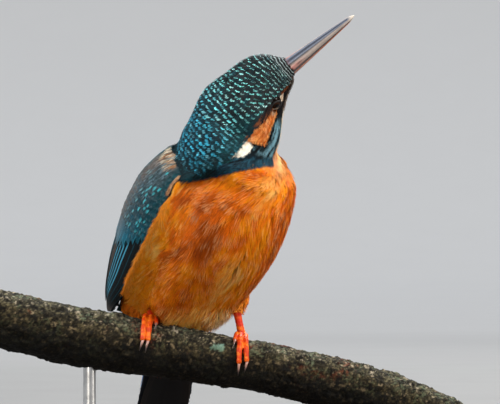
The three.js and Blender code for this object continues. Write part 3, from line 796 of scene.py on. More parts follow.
def puff(s, th):
    """How far the loose plumage of nape, cape and shoulders stands off the form."""
    A = deg(th)
    turned = 1 - smooth(np.asarray(th, float), 0.1, 1.0)
    nape = smooth(s, 7.4, 9.3) * (1 - smooth(s, 9.8, 10.5)) * (1 - smooth(A, 96, 110)) * (0.3 + 0.7 * smooth(A, 6, 32))
    shoulder = smooth(s, 8.8, 9.8) * (1 - smooth(s, 10.4, 12.2)) * (1 - smooth(A, 56, 84)) * (0.35 + 0.65 * smooth(A, 6, 30))
    return np.maximum(3.6 * nape, 2.6 * shoulder) * turned


def body(s, th, off=0.0):
    return form(s, th, off + puff(s, th))


def wing_coat(side):
    surf = wing_of(side)
    if side > 0:
        return surf

    def raised(s, v, off=0.0):
        lift = np.interp(s, [0, 0.3, 0.8, 1.5, 2.6], [4.6, 3.2, 1.3, 0.8, 0.0]) * smooth(v, 0.25, 0.6) - 0.6 * np.exp(-(((s - 4.2) / 0.9) ** 2)) * smooth(v, 0.3, 0.5)
        return surf(s, v, off + lift)

    return raised


def edge_v(s):
    """How far the flank's feathers lap over the folded wing's front edge."""
    return np.interp(s, [0.6, 1.0, 1.68, 2.4, 3.0, 3.6, 4.3, 5.4, 6.2], [0.03, 0.045, 0.012, 0.012, 0.03, 0.032, 0.04, 0.04, 0.01])


def flank_of(side):
    """A slope from the trunk (x 0) up on to the wing's front edge (x 1)."""
    surf = wing_of(side)

    def slope_(s, x, off=0.0):
        s, x, off = np.broadcast_arrays(np.asarray(s, float), np.asarray(x, float), np.asarray(off, float))
        w = spline(WING, s)
        lead = w[..., 6] if side < 0 else w[..., 7] + (w[..., 6] - w[..., 7]) * LEFT_WING_SPREAD
        B = form(FLANK_S(s), side * R(lead + 17 - 22 * x), off)
        W = surf(s, -0.06 + (edge_v(s) + 0.06) * x, off + 0.4)
        k = smooth(x, 0.05, 0.85)[..., None]
        return B * (1 - k) + W * k

    return slope_


FLANK_S = lambda s: np.interp(s, [0, 1.0, 1.68, 2.37, 3.05, 3.57, 4.3, 5.45, 6.6], [8.9, 9.9, 10.78, 11.62, 12.38, 12.93, 13.78, 15.1, 16.3])
CROWN, LORAL, LORE, EARDARK, EAR, WHITE, MALAR, BREAST, MANTLE = range(9)


def region(s, t, ragged=0.0):
    A = deg(t) + (rng.random(np.shape(s)) - 0.5) * 2 * ragged
    s = s + (rng.random(np.shape(s)) - 0.5) * 0.03 * ragged
    U = crown_edge(s)
    out = np.full(np.shape(s), BREAST)
    head = s < 9.62
    out[head & (A < U)] = CROWN
    out[(~head) & (A < 92 + 6 * smooth(s, 13, 18))] = MANTLE
    face = (A >= U) & (s < 8.05)
    M = face & (A < malar_low(s))
    out[M] = MALAR
    fore = M & (s < 3.85)
    out[fore] = LORE
    # an orange line from the bill's corner, ending in a pale spot before the eye
    out[fore & (s > 1.2) & (s < 2.95) & (A < U + np.interp(s, [1.2, 2.2, 2.95], [6, 5, 7]))] = LORAL
    out[fore & (((s - 3.32) / 0.26) ** 2 + ((A - 89.5) / 6.0) ** 2 < 1)] = LORAL
    mid = M & (s >= 3.85)
    up, low = np.interp(s, *EAR_UP), np.interp(s, *EAR_LOW)
    ends = s < np.interp(A, *EAR_END)
    out[mid & (A < up) & (s < 5.8)] = EARDARK
    out[mid & (A >= up) & (A < low) & ends] = EAR
    out[M & (s >= 5.78) & (s < 7.3) & (A >= np.interp(s, *WHITE_UP)) & (A < np.interp(s, *WHITE_LOW))] = WHITE
    return out


def lines(s, t, P, across, along, seed, warp=4.0):
    """Noise drawn out along the lie: cells of across by along millimetres."""
    Q = np.stack([t * 23.0 + warp * (fbm(P, 8.0, seed + 1, 2) - 0.5), s * 10.0 * across / along, 0 * s], -1)
    return noise(Q, across, seed)


RUST, AMBER, ORANGE, STRAW = rgb(158, 66, 4), rgb(220, 102, 2), rgb(255, 146, 8), rgb(255, 196, 106)


def tones(s, t, P):
    """Throat and trunk: pale at the chin, amber and rust in streaks and soft patches below."""
    s, t = np.broadcast_arrays(np.asarray(s, float), np.asarray(t, float))
    A = deg(t)
    fine = lines(s, t, P, 0.8, 6.0, 9)
    wide = lines(s, t, P, 2.4, 9.0, 29)
    patch = fbm(P, 8.5, 3, 3)
    v = 0.46 * fine + 0.34 * wide + 0.28 * patch - 0.01
    # painted light and shade: brightest down the flank beside the wing and round the breast's front, painted shade in
    # the middle and in a band below the cape's edge beside the wing
    v = v + 0.3 * np.exp(-(((A - 110) / 12) ** 2)) * smooth(s, 10, 11.5)
    v = v + 0.24 * smooth(A, 150, 175) * (1 - smooth(s, 14.5, 17)) - 0.12 * np.exp(-(((A - 138) / 18) ** 2)) * smooth(s, 10.5, 12) - 0.2 * smooth(s, 8.2, 9.4) * (1 - smooth(s, 11.2, 12.8)) * smooth(A, 104, 116)
    # and painted light low on the flank, beside the wing's tip
    v = v + 0.3 * smooth(s, 13.5, 15.2) * (1 - smooth(A, 96, 122))
    base = lerp(RUST, AMBER, smooth(v, 0.1, 0.4))
    base = lerp(base, ORANGE, smooth(v, 0.36, 0.66))
    base = lerp(base, STRAW, smooth(v, 0.74, 1.0) * 0.75 * (1 - 0.85 * smooth(s, 12.5, 13.8) * (1 - smooth(A, 112, 132))))
    # greyish bases show through on the belly
    base = lerp(base, rgb(124, 86, 34), smooth(fbm(P, 5.0, 15, 2), 0.55, 0.8) * smooth(s, 12, 14) * 0.2)
    low = smooth(s, 17.0, 18.4) * smooth(A, 104, 124)
    base = lerp(base, rgb(232, 172, 104), low * 0.5)
    pale = smooth(A, 134, 158) * (1 - smooth(s, 6.4, 8.6)) * (0.25 + 0.6 * fine)
    base = lerp(base, rgb(250, 196, 126), np.clip(pale, 0, 1))
    chin = smooth(A, 112, 128) * (1 - smooth(s, 4.6, 6.6))
    base = lerp(base, rgb(252, 234, 206), chin * 0.9)
    return base


def tone_at(s, t, P, reg):
    C = tones(s, t, P)
    n = fbm(P, 2.4, 21, 3)[..., None]
    put = lambda k, col: C.__setitem__(reg == k, np.broadcast_to(col, C.shape)[reg == k])
    A = deg(t)
    crown = lerp(rgb(38, 44, 47), rgb(8, 34, 50), smooth(s, 5.0, 8.2)) * (0.4 + 0.8 * n)
    side_ = smooth(A, crown_edge(s) - 26, crown_edge(s) - 12) * smooth(s, 4.4, 5.4)
    crown = lerp(crown, rgb(10, 62, 68) * (0.5 + 1.0 * lines(s, t, P, 0.7, 5.0, 61, 1.0)[..., None]), side_ * 0.8)
    crown = lerp(crown, rgb(5, 12, 15), smooth(s, 8.5, 9.3) * 0.85)
    crown = lerp(crown, rgb(5, 5, 7), (1 - smooth(s, 0.8, 1.6)) * 0.9)
    put(CROWN, crown)
    put(LORAL, lerp(rgb(140, 74, 40), rgb(238, 224, 202), smooth(s, 2.9, 3.15)))
    put(LORE, lerp(rgb(18, 15, 17), rgb(78, 52, 44), smooth(n[..., 0], 0.55, 0.8)))
    put(EARDARK, lerp(lerp(rgb(38, 30, 30), rgb(16, 48, 56), smooth(s, 4.4, 5.4)), rgb(150, 84, 46), smooth(lines(s, t, P, 0.6, 4.0, 63, 1.0), 0.62, 0.85) * 0.8))
    ear = lerp(rgb(206, 104, 36), rgb(250, 164, 88), smooth(lines(s, t, P, 0.5, 4.5, 65, 1.5), 0.3, 0.66))
    ear = lerp(ear, rgb(250, 190, 134), smooth(fbm(P, 2.2, 66, 2), 0.45, 0.7) * 0.6)
    ear = lerp(ear, rgb(128, 58, 22), (1 - smooth(A, np.interp(s, *EAR_UP), np.interp(s, *EAR_UP) + 5)) * 0.55)
    put(EAR, ear)
    white = lerp(rgb(236, 230, 214), rgb(232, 196, 146), smooth(s, 6.6, 7.2) * 0.6) * (0.82 + 0.3 * lines(s, t, P, 0.5, 3.0, 68, 1.0)[..., None])
    white = lerp(white, rgb(226, 160, 92), (1 - smooth(s, 5.78, 5.98)) * (1 - smooth(A, 76, 82)) * 0.7)
    put(WHITE, white)
    streak = smooth(lines(s, t, P, 0.75, 7.0, 77, 1.0), 0.4, 0.62)
    mal = lerp(rgb(4, 14, 20), rgb(138, 188, 204), streak * (1 - smooth(s, 5.5, 6.1)) * smooth(s, 3.9, 4.5))
    mal = lerp(mal, rgb(34, 84, 104), smooth(s, 5.7, 6.2) * smooth(lines(s, t, P, 0.6, 4.5, 79, 1.0), 0.55, 0.85) * 0.85)
    low_ = np.interp(s, *EAR_LOW)
    mal = lerp(mal, rgb(6, 9, 12), (1 - smooth(A, low_ + 3, low_ + 8)) * (s < 5.75) * 0.9)
    put(MALAR, mal)
    spine = 1 - smooth(A, 16, 40)
    man = lerp(rgb(16, 60, 74), lerp(rgb(18, 116, 168), rgb(30, 156, 204), smooth(fbm(P, 5.0, 23, 2), 0.35, 0.65)), spine)
    put(MANTLE, man * (0.7 + 0.6 * n))
    return C


EYE_AXIS = {}
for side, sg in SIDES.items():
    p0 = body(EYE_AT[0], sg * R(EYE_AT[1]))
    p1 = body(EYE_AT[0], sg * R(EYE_AT[1]), -5.0)
    d = unit(p1 - p0)
    EYE_AXIS[side] = (p0 + d * EYE_DEPTH, -d)


def eye_distance(P):
    """Distance of points from the nearer eye's axis."""
    best = np.full(P.shape[:-1], 1e9)
    for c, a in EYE_AXIS.values():
        q = P - c
        along = np.sum(q * a, -1, keepdims=True)
        best = np.minimum(best, np.where(along[..., 0] > -2, np.linalg.norm(q - along * a, axis=-1), 1e9))
    return best


def drop_over_eye(V, clear):
    """Which vanes keep off the eyeball."""
    return eye_distance(V.reshape(len(V), -1, 3)).min(1) > clear


def tip_region(s, t, reach, alpha=0.0):
    """The region under a tuft's tip."""
    P, Ps, Pt, N = frame_at(body, s, t)
    ds = reach * np.cos(alpha) / np.linalg.norm(Ps, axis=-1)
    dt = reach * np.sin(alpha) * np.sign(t) / np.linalg.norm(Pt, axis=-1)
    return region(s + ds, t + dt, 0.8)


# ------------------------------------------------------------------ crown, nape and cape: barred scales
S_BODY, T_BODY = (0.0, 19.0), (-PI, PI)
crown = Coat("feathers_crown", "scale", "plumage_teal", (0.0, 9.8), (-2.1, 2.1))
row_gap = lambda s: np.interp(s, [0, 0.8, 2.0, 3.2, 5, 7, 9], [0.9, 1.0, 1.5, 2.15, 2.55, 2.5, 2.4])
col_gap = lambda s: np.interp(s, [0, 0.8, 2.0, 3.2, 5, 7, 9], [0.85, 1.15, 1.8, 2.3, 2.5, 2.3, 2.2])
rows_s = arc_rows(body, 0.1, 9.75, -R(52), row_gap)
S, T = row_roots(body, rows_s, -R(118), R(118), col_gap)
# the rows sweep back across the turned head and curl round the forehead
w_ = np.interp(S, [0, 2, 4, 6], [3.5, 8, 13.5, 16]) * np.sin(np.clip(T + R(30), -R(88), R(90)))
sweep = (0.2 * w_ + np.interp(S, [0, 2, 4, 6], [0.05, 0.028, 0.01, 0.006]) * w_ * w_) * np.interp(S, [0, 0.8, 2.2, 6.5, 9.0], [0.0, 0.35, 1, 1, 0])
S = S + sweep / np.linalg.norm(frame_at(body, S, T)[1], axis=-1)
S = np.clip(S, 0.05, 9.75)
s, t = S + (rng.random(len(S)) - 0.5) * 0.035 * np.clip(S, 0.3, 2), T
L = row_gap(s) * 2.05 + 0.45
P, Ps, Pt, N = frame_at(body, s, t)
speed = np.linalg.norm(Ps, axis=-1)
s_tip = s + L * 0.75 / speed
keep = (region(s_tip, t, 2.5) == CROWN) & (s_tip < 9.62)
s, t, L, s_tip, P, speed = s[keep], t[keep], L[keep], s_tip[keep], P[keep], speed[keep]
n = len(s)
rows = (0, 0.3, 0.55, 0.78, 0.92, 1.0)
prof = (0.35, 0.8, 1.0, 0.9, 0.55, 0.14)
cols = (-1, -0.5, 0, 0.5, 1)
alpha = (rng.random(n) - 0.5) * 0.2
V = lay(body, s, t, alpha, L, col_gap(s) * 1.5, rows, prof, cols, -0.95 + 0.0 * s, 0.0 + (rng.random(n) - 0.5) * 0.2, np.sign(t), bend=(rng.random(n) - 0.5) * 0.1, cup=0.1)
V = V + (rng.random(V.shape) - 0.5) * 0.06
ok = drop_over_eye(V, 2.05)
base = tone_at(s_tip, t, P, np.full(n, CROWN)) * (0.7 + 0.6 * rng.random((n, 1)))
grain = 0.75 + 0.5 * rng.random((n, len(rows), len(cols), 1))
C = np.broadcast_to(base[:, None, None], V.shape) * grain
# painted shade: each scale is darker at its root, under the row in front, and darker at its tip
C = C * np.array([0.7, 0.9, 1.0, 1.05, 0.85, 0.6])[None, :, None, None]
crown.add(V[ok], C[ok], s[ok], t[ok], np.asarray(cols)[None, :], np.asarray(rows)[:, None])

# the pale bars: a short row of bright barb ends across each feather, uneven in reach and light
A = deg(t)
near_ = lambda a, b_: lerp(np.broadcast_to(a, (n, 3)), b_, smooth(s_tip, 1.2, 4.0))
bar = lerp(rgb(168, 192, 192), rgb(130, 222, 218), smooth(s_tip, 1.2, 3.6))
bar = lerp(bar, rgb(58, 182, 218), smooth(s_tip, 4.6, 7.6))
bar = lerp(bar, rgb(184, 240, 238), smooth(rng.random(n), 0.6, 0.95) * (1 - smooth(s_tip, 5.6, 7.6)) * 0.75)
bar = lerp(bar, rgb(140, 226, 244), smooth(rng.random(n), 0.7, 0.95) * smooth(s_tip, 5.6, 7.6) * 0.7)
plain = smooth(A, crown_edge(s_tip) - 22, crown_edge(s_tip) - 9) * smooth(s_tip, 4.4, 5.4) * (1 - smooth(s_tip, 8.3, 8.9))
plain = np.maximum(plain, smooth(s_tip, 8.95, 9.45))
plain = np.maximum(plain, (1 - smooth(s_tip, 1.2, 1.8)) * 1.4)
dim = (0.6 + 0.7 * rng.random(n)) * (1 + 0.5 * (fbm(P, 5.0, 43, 2) - 0.5)) * np.interp(s_tip, [1, 2.5, 4, 8], [0.8, 0.94, 1.0, 1.02])
dim = np.where(rng.random(n) < 0.1, dim * 0.4, dim) * (1 - 0.7 * plain)
bar = bar * dim[:, None]
half = np.interp(s_tip, [0, 1.0, 2.5, 4, 6, 8], [0.62, 0.7, 0.8, 0.86, 0.76, 0.66]) * (0.72 + 0.45 * rng.random(n))
thick = np.interp(s_tip, [0, 1.0, 2.5, 4, 6, 8], [0.18, 0.22, 0.38, 0.57, 0.92, 1.25]) * (0.7 + 0.6 * rng.random(n))
where = 0.66 + np.interp(s_tip, [0, 5, 8], [0.04, 0.06, 0.14]) * (rng.random(n) - 0.5)
sb = s + where * L / speed
tb = t + (rng.random(n) - 0.5) * np.interp(s, [0, 5, 8], [0.2, 0.25, 0.4]) * col_gap(s) / np.linalg.norm(frame_at(body, sb, t)[2], axis=-1)
Pb = body(sb, tb)
ok = (eye_distance(Pb) > 2.7) & (sb < 9.6) & (deg(tb) < crown_edge(sb) - 2.5)
Pq, Pqs, Pqt, Nq = frame_at(body, sb, tb)
lean = np.sign(dot(np.cross(Nq, unit(Pqs)), Pqt)[:, 0]) * half * np.interp(sb, [0, 2, 4, 8, 9.2], [0.1, 0.25, 0.42, 0.5, 0.2])
blades(crown, body, sb[ok], tb[ok], (rng.random(ok.sum()) - 0.5) * 0.22, thick[ok], np.interp(s_tip[ok], [0, 2, 4], [0.2, 0.3, 0.36]), bar[ok], n=6, spread=half[ok], fan=0.06, off=(0.02, 0.2), lift=0.06, rows=(0, 0.5, 1.0), prof=(0.8, 1.0, 0.4), slide=0.14, arc=0.1, vary=0.3, roll=0.2, root=bar[ok] * 0.8, skew=lean[ok])
crown.build()

# fine dark strands that soften the crown's rows and its lower fringe
fringe = Coat("feathers_crown_fine", "down", "plumage_teal", (0.0, 9.8), (-2.1, 2.1))
s, t = scatter(body, 0.3, 9.4, -R(112), R(112), lambda s, t: np.interp(s, [0, 3, 6, 9], [1.5, 1.1, 1.0, 1.3]), 160, 160)
P = body(s, t)
reg = region(s, t, 3.0)
k = (reg == CROWN) & (tip_region(s, t, row_gap(s) * 1.9) == CROWN)
s, t, P = s[k], t[k], P[k]
Lf = row_gap(s) * 1.3
ok = eye_distance(P) > 2.7
s, t, P, Lf = s[ok], t[ok], P[ok], Lf[ok]
A = deg(t)
side_ = smooth(A, crown_edge(s) - 30, crown_edge(s) - 8) * smooth(s, 4.2, 5.2)
hue = lerp(lerp(rgb(74, 118, 116), rgb(104, 96, 102), (rng.random(len(s)) < 0.5) * 1.0), rgb(34, 128, 158), smooth(s, 5.0, 7.5))
hue = lerp(hue, rgb(22, 112, 116), side_)
gl = rng.random(len(s)) ** 4.0
C = tone_at(s, t, P, np.full(len(s), CROWN)) * (0.6 + 0.5 * rng.random((len(s), 1)))
C = lerp(C, hue, gl * (0.75 + 0.25 * side_) * (1 - smooth(s, 9.0, 9.5)))
blades(fringe, body, s, t, (rng.random(len(s)) - 0.5) * 0.3, Lf * (0.8 + 0.7 * side_), 0.16, C, n=3, spread=0.3, off=(-0.5, 0.1), lift=0.12)
# thin dark rims and pale lines that follow the forehead's edge
s, t = scatter(body, 0.15, 1.9, -R(96), R(96), 3.2, 60, 120)
ok = deg(t) < crown_edge(s) - 2
s, t = s[ok], t[ok]
C = lerp(rgb(5, 6, 7), rgb(112, 136, 140), (rng.random(len(s)) ** 8) * smooth(s, 0.9, 1.4))
blades(fringe, body, s, t, (rng.random(len(s)) - 0.5) * 0.2, 1.0 + 0.4 * s, 0.12, C, n=3, spread=0.3, off=(-0.3, 0.06), lift=0.08)
for k_, s_row in enumerate((0.78, 1.14, 1.46)):
    t = np.arange(-R(86), R(86), 0.55 / np.interp(s_row, [0, 2], [3.6, 7.4]))
    s = s_row + 0.03 * np.sin(t * 9 + k_) + (rng.random(len(t)) - 0.5) * 0.035
    keep = deg(t) < crown_edge(s) - 3
    s, t = s[keep], t[keep]
    C = np.broadcast_to(rgb(176, 196, 198), (len(s), 3)) * (0.45 + 0.55 * rng.random((len(s), 1))) * (0.75 + 0.1 * k_)
    blades(fringe, body, s, t, np.full(len(s), PI / 2), 1.1, 0.24, C, n=1, spread=0.0, fan=0.0, off=(0.2, 0.22), lift=0.03, rows=(0, 0.5, 1.0), prof=(0.7, 1.0, 0.7), roll=0.1, sgn=1.0, root=C, tip=C)
# dark hair-fine strands lie over the bars and break them up
s, t = scatter(body, 1.6, 9.0, -R(110), R(110), lambda s, t: np.interp(s, [1.6, 4, 6, 9], [0.5, 0.5, 0.8, 1.0]), 120, 140)
k = (region(s, t, 2.0) == CROWN) & (tip_region(s, t, 3.0) == CROWN) & (eye_distance(body(s, t)) > 3.6)
s, t = s[k], t[k]
C = lerp(rgb(8, 18, 22), rgb(40, 92, 104), rng.random(len(s)) ** 3)
blades(fringe, body, s, t, (rng.random(len(s)) - 0.5) * 0.4, np.interp(s, [1.6, 4, 7], [1.3, 1.9, 3.0]), 0.11, C, n=3, spread=0.3, off=(0.0, 0.32), lift=0.1, roll=0.2)
# the cape's edge lies in long dark strands over the breast
tt = rng.uniform(-R(112), R(112), 3000)
edge_s = np.interp(deg(tt), [78, 84, 93, 99, 104, 106.2], [9.55, 9.5, 9.45, 9.15, 8.65, 8.05])
s = edge_s - rng.random(len(tt)) * 0.8
k = deg(tt) < 106
s, t = s[k], tt[k]
C = lerp(rgb(6, 16, 20), rgb(24, 80, 90), rng.random(len(s)) ** 3.2)
blades(fringe, body, s, t, 0.1 * np.ones(len(s)), 4.0 + 1.8 * rng.random(len(s)), 0.22, C, n=4, spread=0.4, off=(-0.6, 0.4), lift=0.15)
s = rng.uniform(5.8, 8.3, 1300)
t = R(malar_low(s) - 0.5 - 8.5 * rng.random(1300)) * np.where(rng.random(1300) < 0.5, -1, 1)
k = ~((deg(t) < np.interp(s, *WHITE_LOW) + 1.5) & (s < 7.3)) & (deg(t) > crown_edge(s) - 3)
s, t = s[k], t[k]
C = lerp(rgb(6, 16, 26), rgb(40, 92, 112), rng.random(len(s)) ** 2.4)
blades(fringe, body, s, t, 0.3 * np.ones(len(s)), 3.0 + 1.4 * rng.random(len(s)), 0.2, C, n=4, spread=0.35, off=(-0.5, 0.42), lift=0.15)
s, t = scatter(body, 8.1, 9.75, -R(104), R(104), 0.9, 40, 120)
C = rgb(4, 12, 17) * (0.5 + rng.random((len(s), 1)))
blades(fringe, body, s, t, np.zeros(len(s)), 4.6, 0.4, C, n=4, spread=0.55, off=(-1.4 - puff(s, t), -0.3), lift=0.15, root=C, tip=C)
fringe.build()

# ------------------------------------------------------------------ face: lore, ear coverts, white neck patch, malar stripe
face = Coat("feathers_face", "down", "plumage_orange", (0.0, 7.6), (-2.5, 2.5))
s, t = scatter(body, 0.5, 8.05, -R(137), R(137), lambda s, t: np.interp(s, [0, 2, 4, 7], [6.0, 5.0, 3.6, 2.6]), 180, 220)
reg = region(s, t, 1.2)
k = np.isin(reg, (LORAL, LORE, EARDARK, EAR, WHITE, MALAR))
s, t, reg = s[k], t[k], reg[k]
P = body(s, t)
L = np.interp(s, [0.5, 2, 3.2, 4.2, 5.2, 7], [0.8, 1.1, 1.2, 1.7, 2.4, 2.8])
L = L * np.where(reg == WHITE, 1.15, 1.0) * np.where(reg == LORAL, 0.75, 1.0)
dist = eye_distance(P)
# the lie parts round the eye
near = np.clip((4.4 - dist) / 2.2, 0, 1)
alpha = np.zeros(len(s))
sgn_v = np.where(deg(t) > EYE_AT[1], 1.0, -1.0)
alpha += np.where(s < EYE_AT[0] + 0.1, 1.0, -0.7) * near * sgn_v * 0.75
alpha += np.where(reg == MALAR, 0.1, 0) + (fbm(P, 3.0, 40, 2) - 0.5) * 0.4
L = np.where(dist < 3.8, np.minimum(L, 0.75 + (dist - 2.0) * 0.5), L)
landing = tip_region(s, t, L * 0.8, alpha)
keep_ = (landing == reg) | (reg == EARDARK) | (reg == LORE) | (reg == LORAL)
keep_ &= ~((reg != WHITE) & (landing == WHITE))
L = np.where(keep_, L, L * 0.5)
ok = dist > 2.25
s, t, reg, P, L, alpha, dist = s[ok], t[ok], reg[ok], P[ok], L[ok], alpha[ok], dist[ok]
C = tone_at(s, t, P, reg) * (0.8 + 0.4 * rng.random((len(s), 1)))
ring = ((1 - smooth(dist, 2.3, 3.1)) * np.where(reg == LORAL, 0.2, 0.9))[:, None]
C = C * (1 - ring) + rgb(20, 16, 16) * ring
# a pale arc behind the eye
to_ = P - np.where(t[:, None] > 0, EYE_AXIS["left"][0], EYE_AXIS["right"][0])
behind = smooth(-(to_ @ billDir) / np.maximum(dist, 0.1), 0.45, 0.75) * (np.abs(dist - 2.75) < 0.3) * smooth(deg(t), 76, 82)
C = lerp(C, rgb(206, 176, 146), behind * 0.75)
blades(face, body, s, t, alpha, L, np.interp(s, [0, 3, 6], [0.12, 0.15, 0.2]), C, n=5, spread=0.26, fan=0.1, off=(-0.85, 0.05), lift=0.14)
s, t = rng.normal(3.2, 0.1, 200), R(rng.normal(89.0, 2.0, 200)) * np.where(rng.random(200) < 0.5, -1, 1)
ok = eye_distance(body(s, t)) > 2.05
s, t = s[ok], t[ok]
C = lerp(rgb(250, 236, 214), rgb(176, 132, 98), rng.random(len(s)) ** 1.6)
blades(face, body, s, t, (rng.random(len(s)) - 0.5) * 0.5, np.clip(eye_distance(body(s, t)) - 1.35, 0.5, 1.3), 0.13, C, n=4, spread=0.2, off=(-0.1, 0.42), lift=0.1, tip=C, root=C * 0.8)
# fine bristles stand along the lore
s = rng.uniform(1.2, 3.6, 500)
t = R(np.interp(s, [1.2, 2.4, 3.6], [99, 104, 108]) + 14 * rng.random(500)) * np.where(rng.random(500) < 0.5, -1, 1)
C = lerp(rgb(14, 12, 14), rgb(112, 92, 80), rng.random(500) ** 1.5)
blades(face, body, s, t, 0.5 * np.ones(500), 1.7 + 0.9 * rng.random(500), 0.1, C, n=2, spread=0.15, off=(-0.5, 0.6), lift=0.3)
face.build()

# ------------------------------------------------------------------ throat, breast, belly
LEAD_A = lambda s: np.interp(s, [9.3, 10, 11, 12, 13, 14, 15, 16, 16.8], [96, 101, 106, 108, 106, 102, 97, 87, 70])
BACK_A = lambda s: np.interp(s, [9.3, 10, 11, 12, 13, 14, 15, 16, 16.8], [50, 36, 26, 21, 20, 22, 27, 36, 46])


def under_wing(s, t):
    A = deg(t)
    lead = np.where(t > 0, BACK_A(s) + (LEAD_A(s) - BACK_A(s)) * LEFT_WING_SPREAD, LEAD_A(s))
    return (s > 9.7) & (s < 15.3) & (A > BACK_A(s) + 7) & (A < lead - 9)


def lie(s, t, P):
    """Direction of the trunk's strands from straight down, positive to the belly line."""
    A = deg(t)
    # off the flank the strands sweep back towards the wing, and below they turn in to the belly's middle
    out = -0.5 * np.exp(-(((A - 122) / 18) ** 2)) * smooth(s, 10.2, 11.5) * (1 - smooth(s, 14.4, 16))
    out = out + 0.3 * np.exp(-(((A - 142) / 22) ** 2)) * smooth(s, 14.2, 15.6)
    return out + (noise(P, 12.0, 50) - 0.5) * 0.7 + (noise(P, 5.0, 51) - 0.5) * 0.15


def over_shank(T_):
    """Which tufts would hang in front of the near shank."""
    at, ankle, toes = FEET["right"]
    x0 = ankle[0] + (at - ankle[0]) * (ankle[2] - T_[:, 2]) / 11.0
    arch = 73.6 + 0.9 * noise(T_, 2.0, 140) - 0.16 * (T_[:, 0] - x0) ** 2
    return (T_[:, 1] < 6) & (T_[:, 2] < arch) & (np.abs(T_[:, 0] - x0) < 3.4)


def trunk_coat(name, s0, s1, density, slot="plumage_orange"):
    coat = Coat(name, "down", slot, (s0 - 0.3, s1 + 0.3), T_BODY)
    s, t = scatter(body, s0, s1, -PI, PI, density, int(60 * (s1 - s0)), 330)
    reg = region(s, t, 2.0)
    k = (reg == BREAST) & ~under_wing(s, t)
    s, t = s[k], t[k]
    P = body(s, t)
    L = np.interp(s, [1.5, 3.5, 6, 9, 12, 16, 19], [1.2, 1.8, 3.4, 5.4, 6.8, 6.6, 5.2]) * (0.85 + 0.3 * rng.random(len(s)))
    if s0 < 9:
        # nothing warm strays over the dark band
        k = (tip_region(s, t, L * 0.9, lie(s, t, P)) == BREAST) & (tip_region(s, t, L * 0.4, lie(s, t, P)) == BREAST)
        s, t, P, L = s[k], t[k], P[k], L[k]
    L = L * 1.12
    if s1 > 14:
        k = ~over_shank(body(s + L * 0.8 / np.linalg.norm(frame_at(body, s, t)[1], axis=-1), t))
        s, t, P, L = s[k], t[k], P[k], L[k]
    W = np.interp(s, [1.5, 6, 10, 19], [0.15, 0.17, 0.18, 0.18])
    C = tone_at(s, t, P, np.full(len(s), BREAST)) * (0.8 + 0.4 * rng.random((len(s), 1)))
    # painted shade: the roots are darker so that the gaps between tufts read dark; the tips are lighter
    root = C * 0.62
    tip = C * 1.2 + 0.01 * rng.random((len(s), 1))
    # a tuft here and there stands a little proud, with a pale tip painted as a highlight
    proud = rng.random(len(s)) < 0.11
    tip[proud] = tip[proud] * 0.5 + rgb(255, 206, 140) * 0.5
    fx, fy = lie(s, t, P), (noise(P, 9.0, 61) - 0.5) * 0.5
    blades(coat, body, s, t, fx, L, W, C, n=8, spread=0.62, fan=0.1, off=(-1.35, np.where(proud, 0.35, 0.05)), lift=0.22, bend=fy, s_lim=(0.0, 19.0), root=root, tip=tip, roll=0.5, vary=0.15, slide=0.6)
    coat.build()


trunk_coat("feathers_throat", 1.4, 9.6, lambda s, t: np.interp(s, [1.4, 4, 7, 9.6], [3.0, 1.9, 1.2, 1.0]))
trunk_coat("feathers_breast", 9.3, 13.6, 0.95)
trunk_coat("feathers_belly", 13.6, 18.9, 0.9)

# pale loose wisps hang from the lower belly
wisps = Coat("feathers_vent", "down", "plumage_orange", (14.0, 19.2), T_BODY)
s, t = scatter(body, 14.6, 18.6, -PI, PI, 0.6, 60, 160)
P = body(s, t)
k = (deg(t) > 112) & (rng.random(len(s)) < smooth(-P[:, 2], -90.0, -70.0) * smooth(P[:, 0], -23.0, -15.0) * 0.9 + 0.03)
k &= ~over_shank(P) & ~over_shank(body(s + 0.6, t))
s, t, P = s[k], t[k], P[k]
C = lerp(tones(s, t, P), rgb(255, 202, 112), rng.random(len(s)) * (0.25 + 0.65 * smooth(-P[:, 2], -80.0, -70.0))) * (0.9 + 0.4 * rng.random((len(s), 1)))
loose = rng.random(len(s)) ** 1.5
# painted shade: the wisps darken to their roots
blades(wisps, body, s, t, (noise(P, 6.0, 96) - 0.5) * 1.2, 6.0 + 3.0 * loose, 0.15, C, n=6, spread=0.5, fan=0.14, off=(-0.8, 0.2 + 2.6 * loose * smooth(-P[:, 2], -84.0, -72.0)), lift=0.3, s_lim=(0, 19.0), roll=0.5, root=C * 0.5, bend=(noise(P, 7.0, 97) - 0.5) * 0.6, slide=0.5)
# the palest hang beside the far foot
s, t = scatter(body, 15.0, 18.0, -PI, PI, 1.6, 60, 160)
P = body(s, t)
k = (deg(t) > 110) & (P[:, 0] > 0.5) & (P[:, 0] < 10.5) & (P[:, 2] < 75.5) & (P[:, 2] > 67.0)
s, t, P = s[k], t[k], P[k]
C = lerp(rgb(236, 160, 66), rgb(255, 232, 180), rng.random(len(s))) * (0.8 + 0.3 * rng.random((len(s), 1)))
# painted shade at the roots here too
blades(wisps, body, s, t, (noise(P, 4.0, 98) - 0.5) * 1.4, 6.5 + 2.5 * rng.random(len(s)), 0.14, C, n=5, spread=0.45, fan=0.2, off=(-0.8, 0.4 + 3.0 * rng.random(len(s)) ** 1.5), lift=0.35, s_lim=(0, 19.0), roll=0.5, root=C * 0.6, bend=(noise(P, 5.0, 99) - 0.5) * 0.8, slide=0.5)
wisps.build()

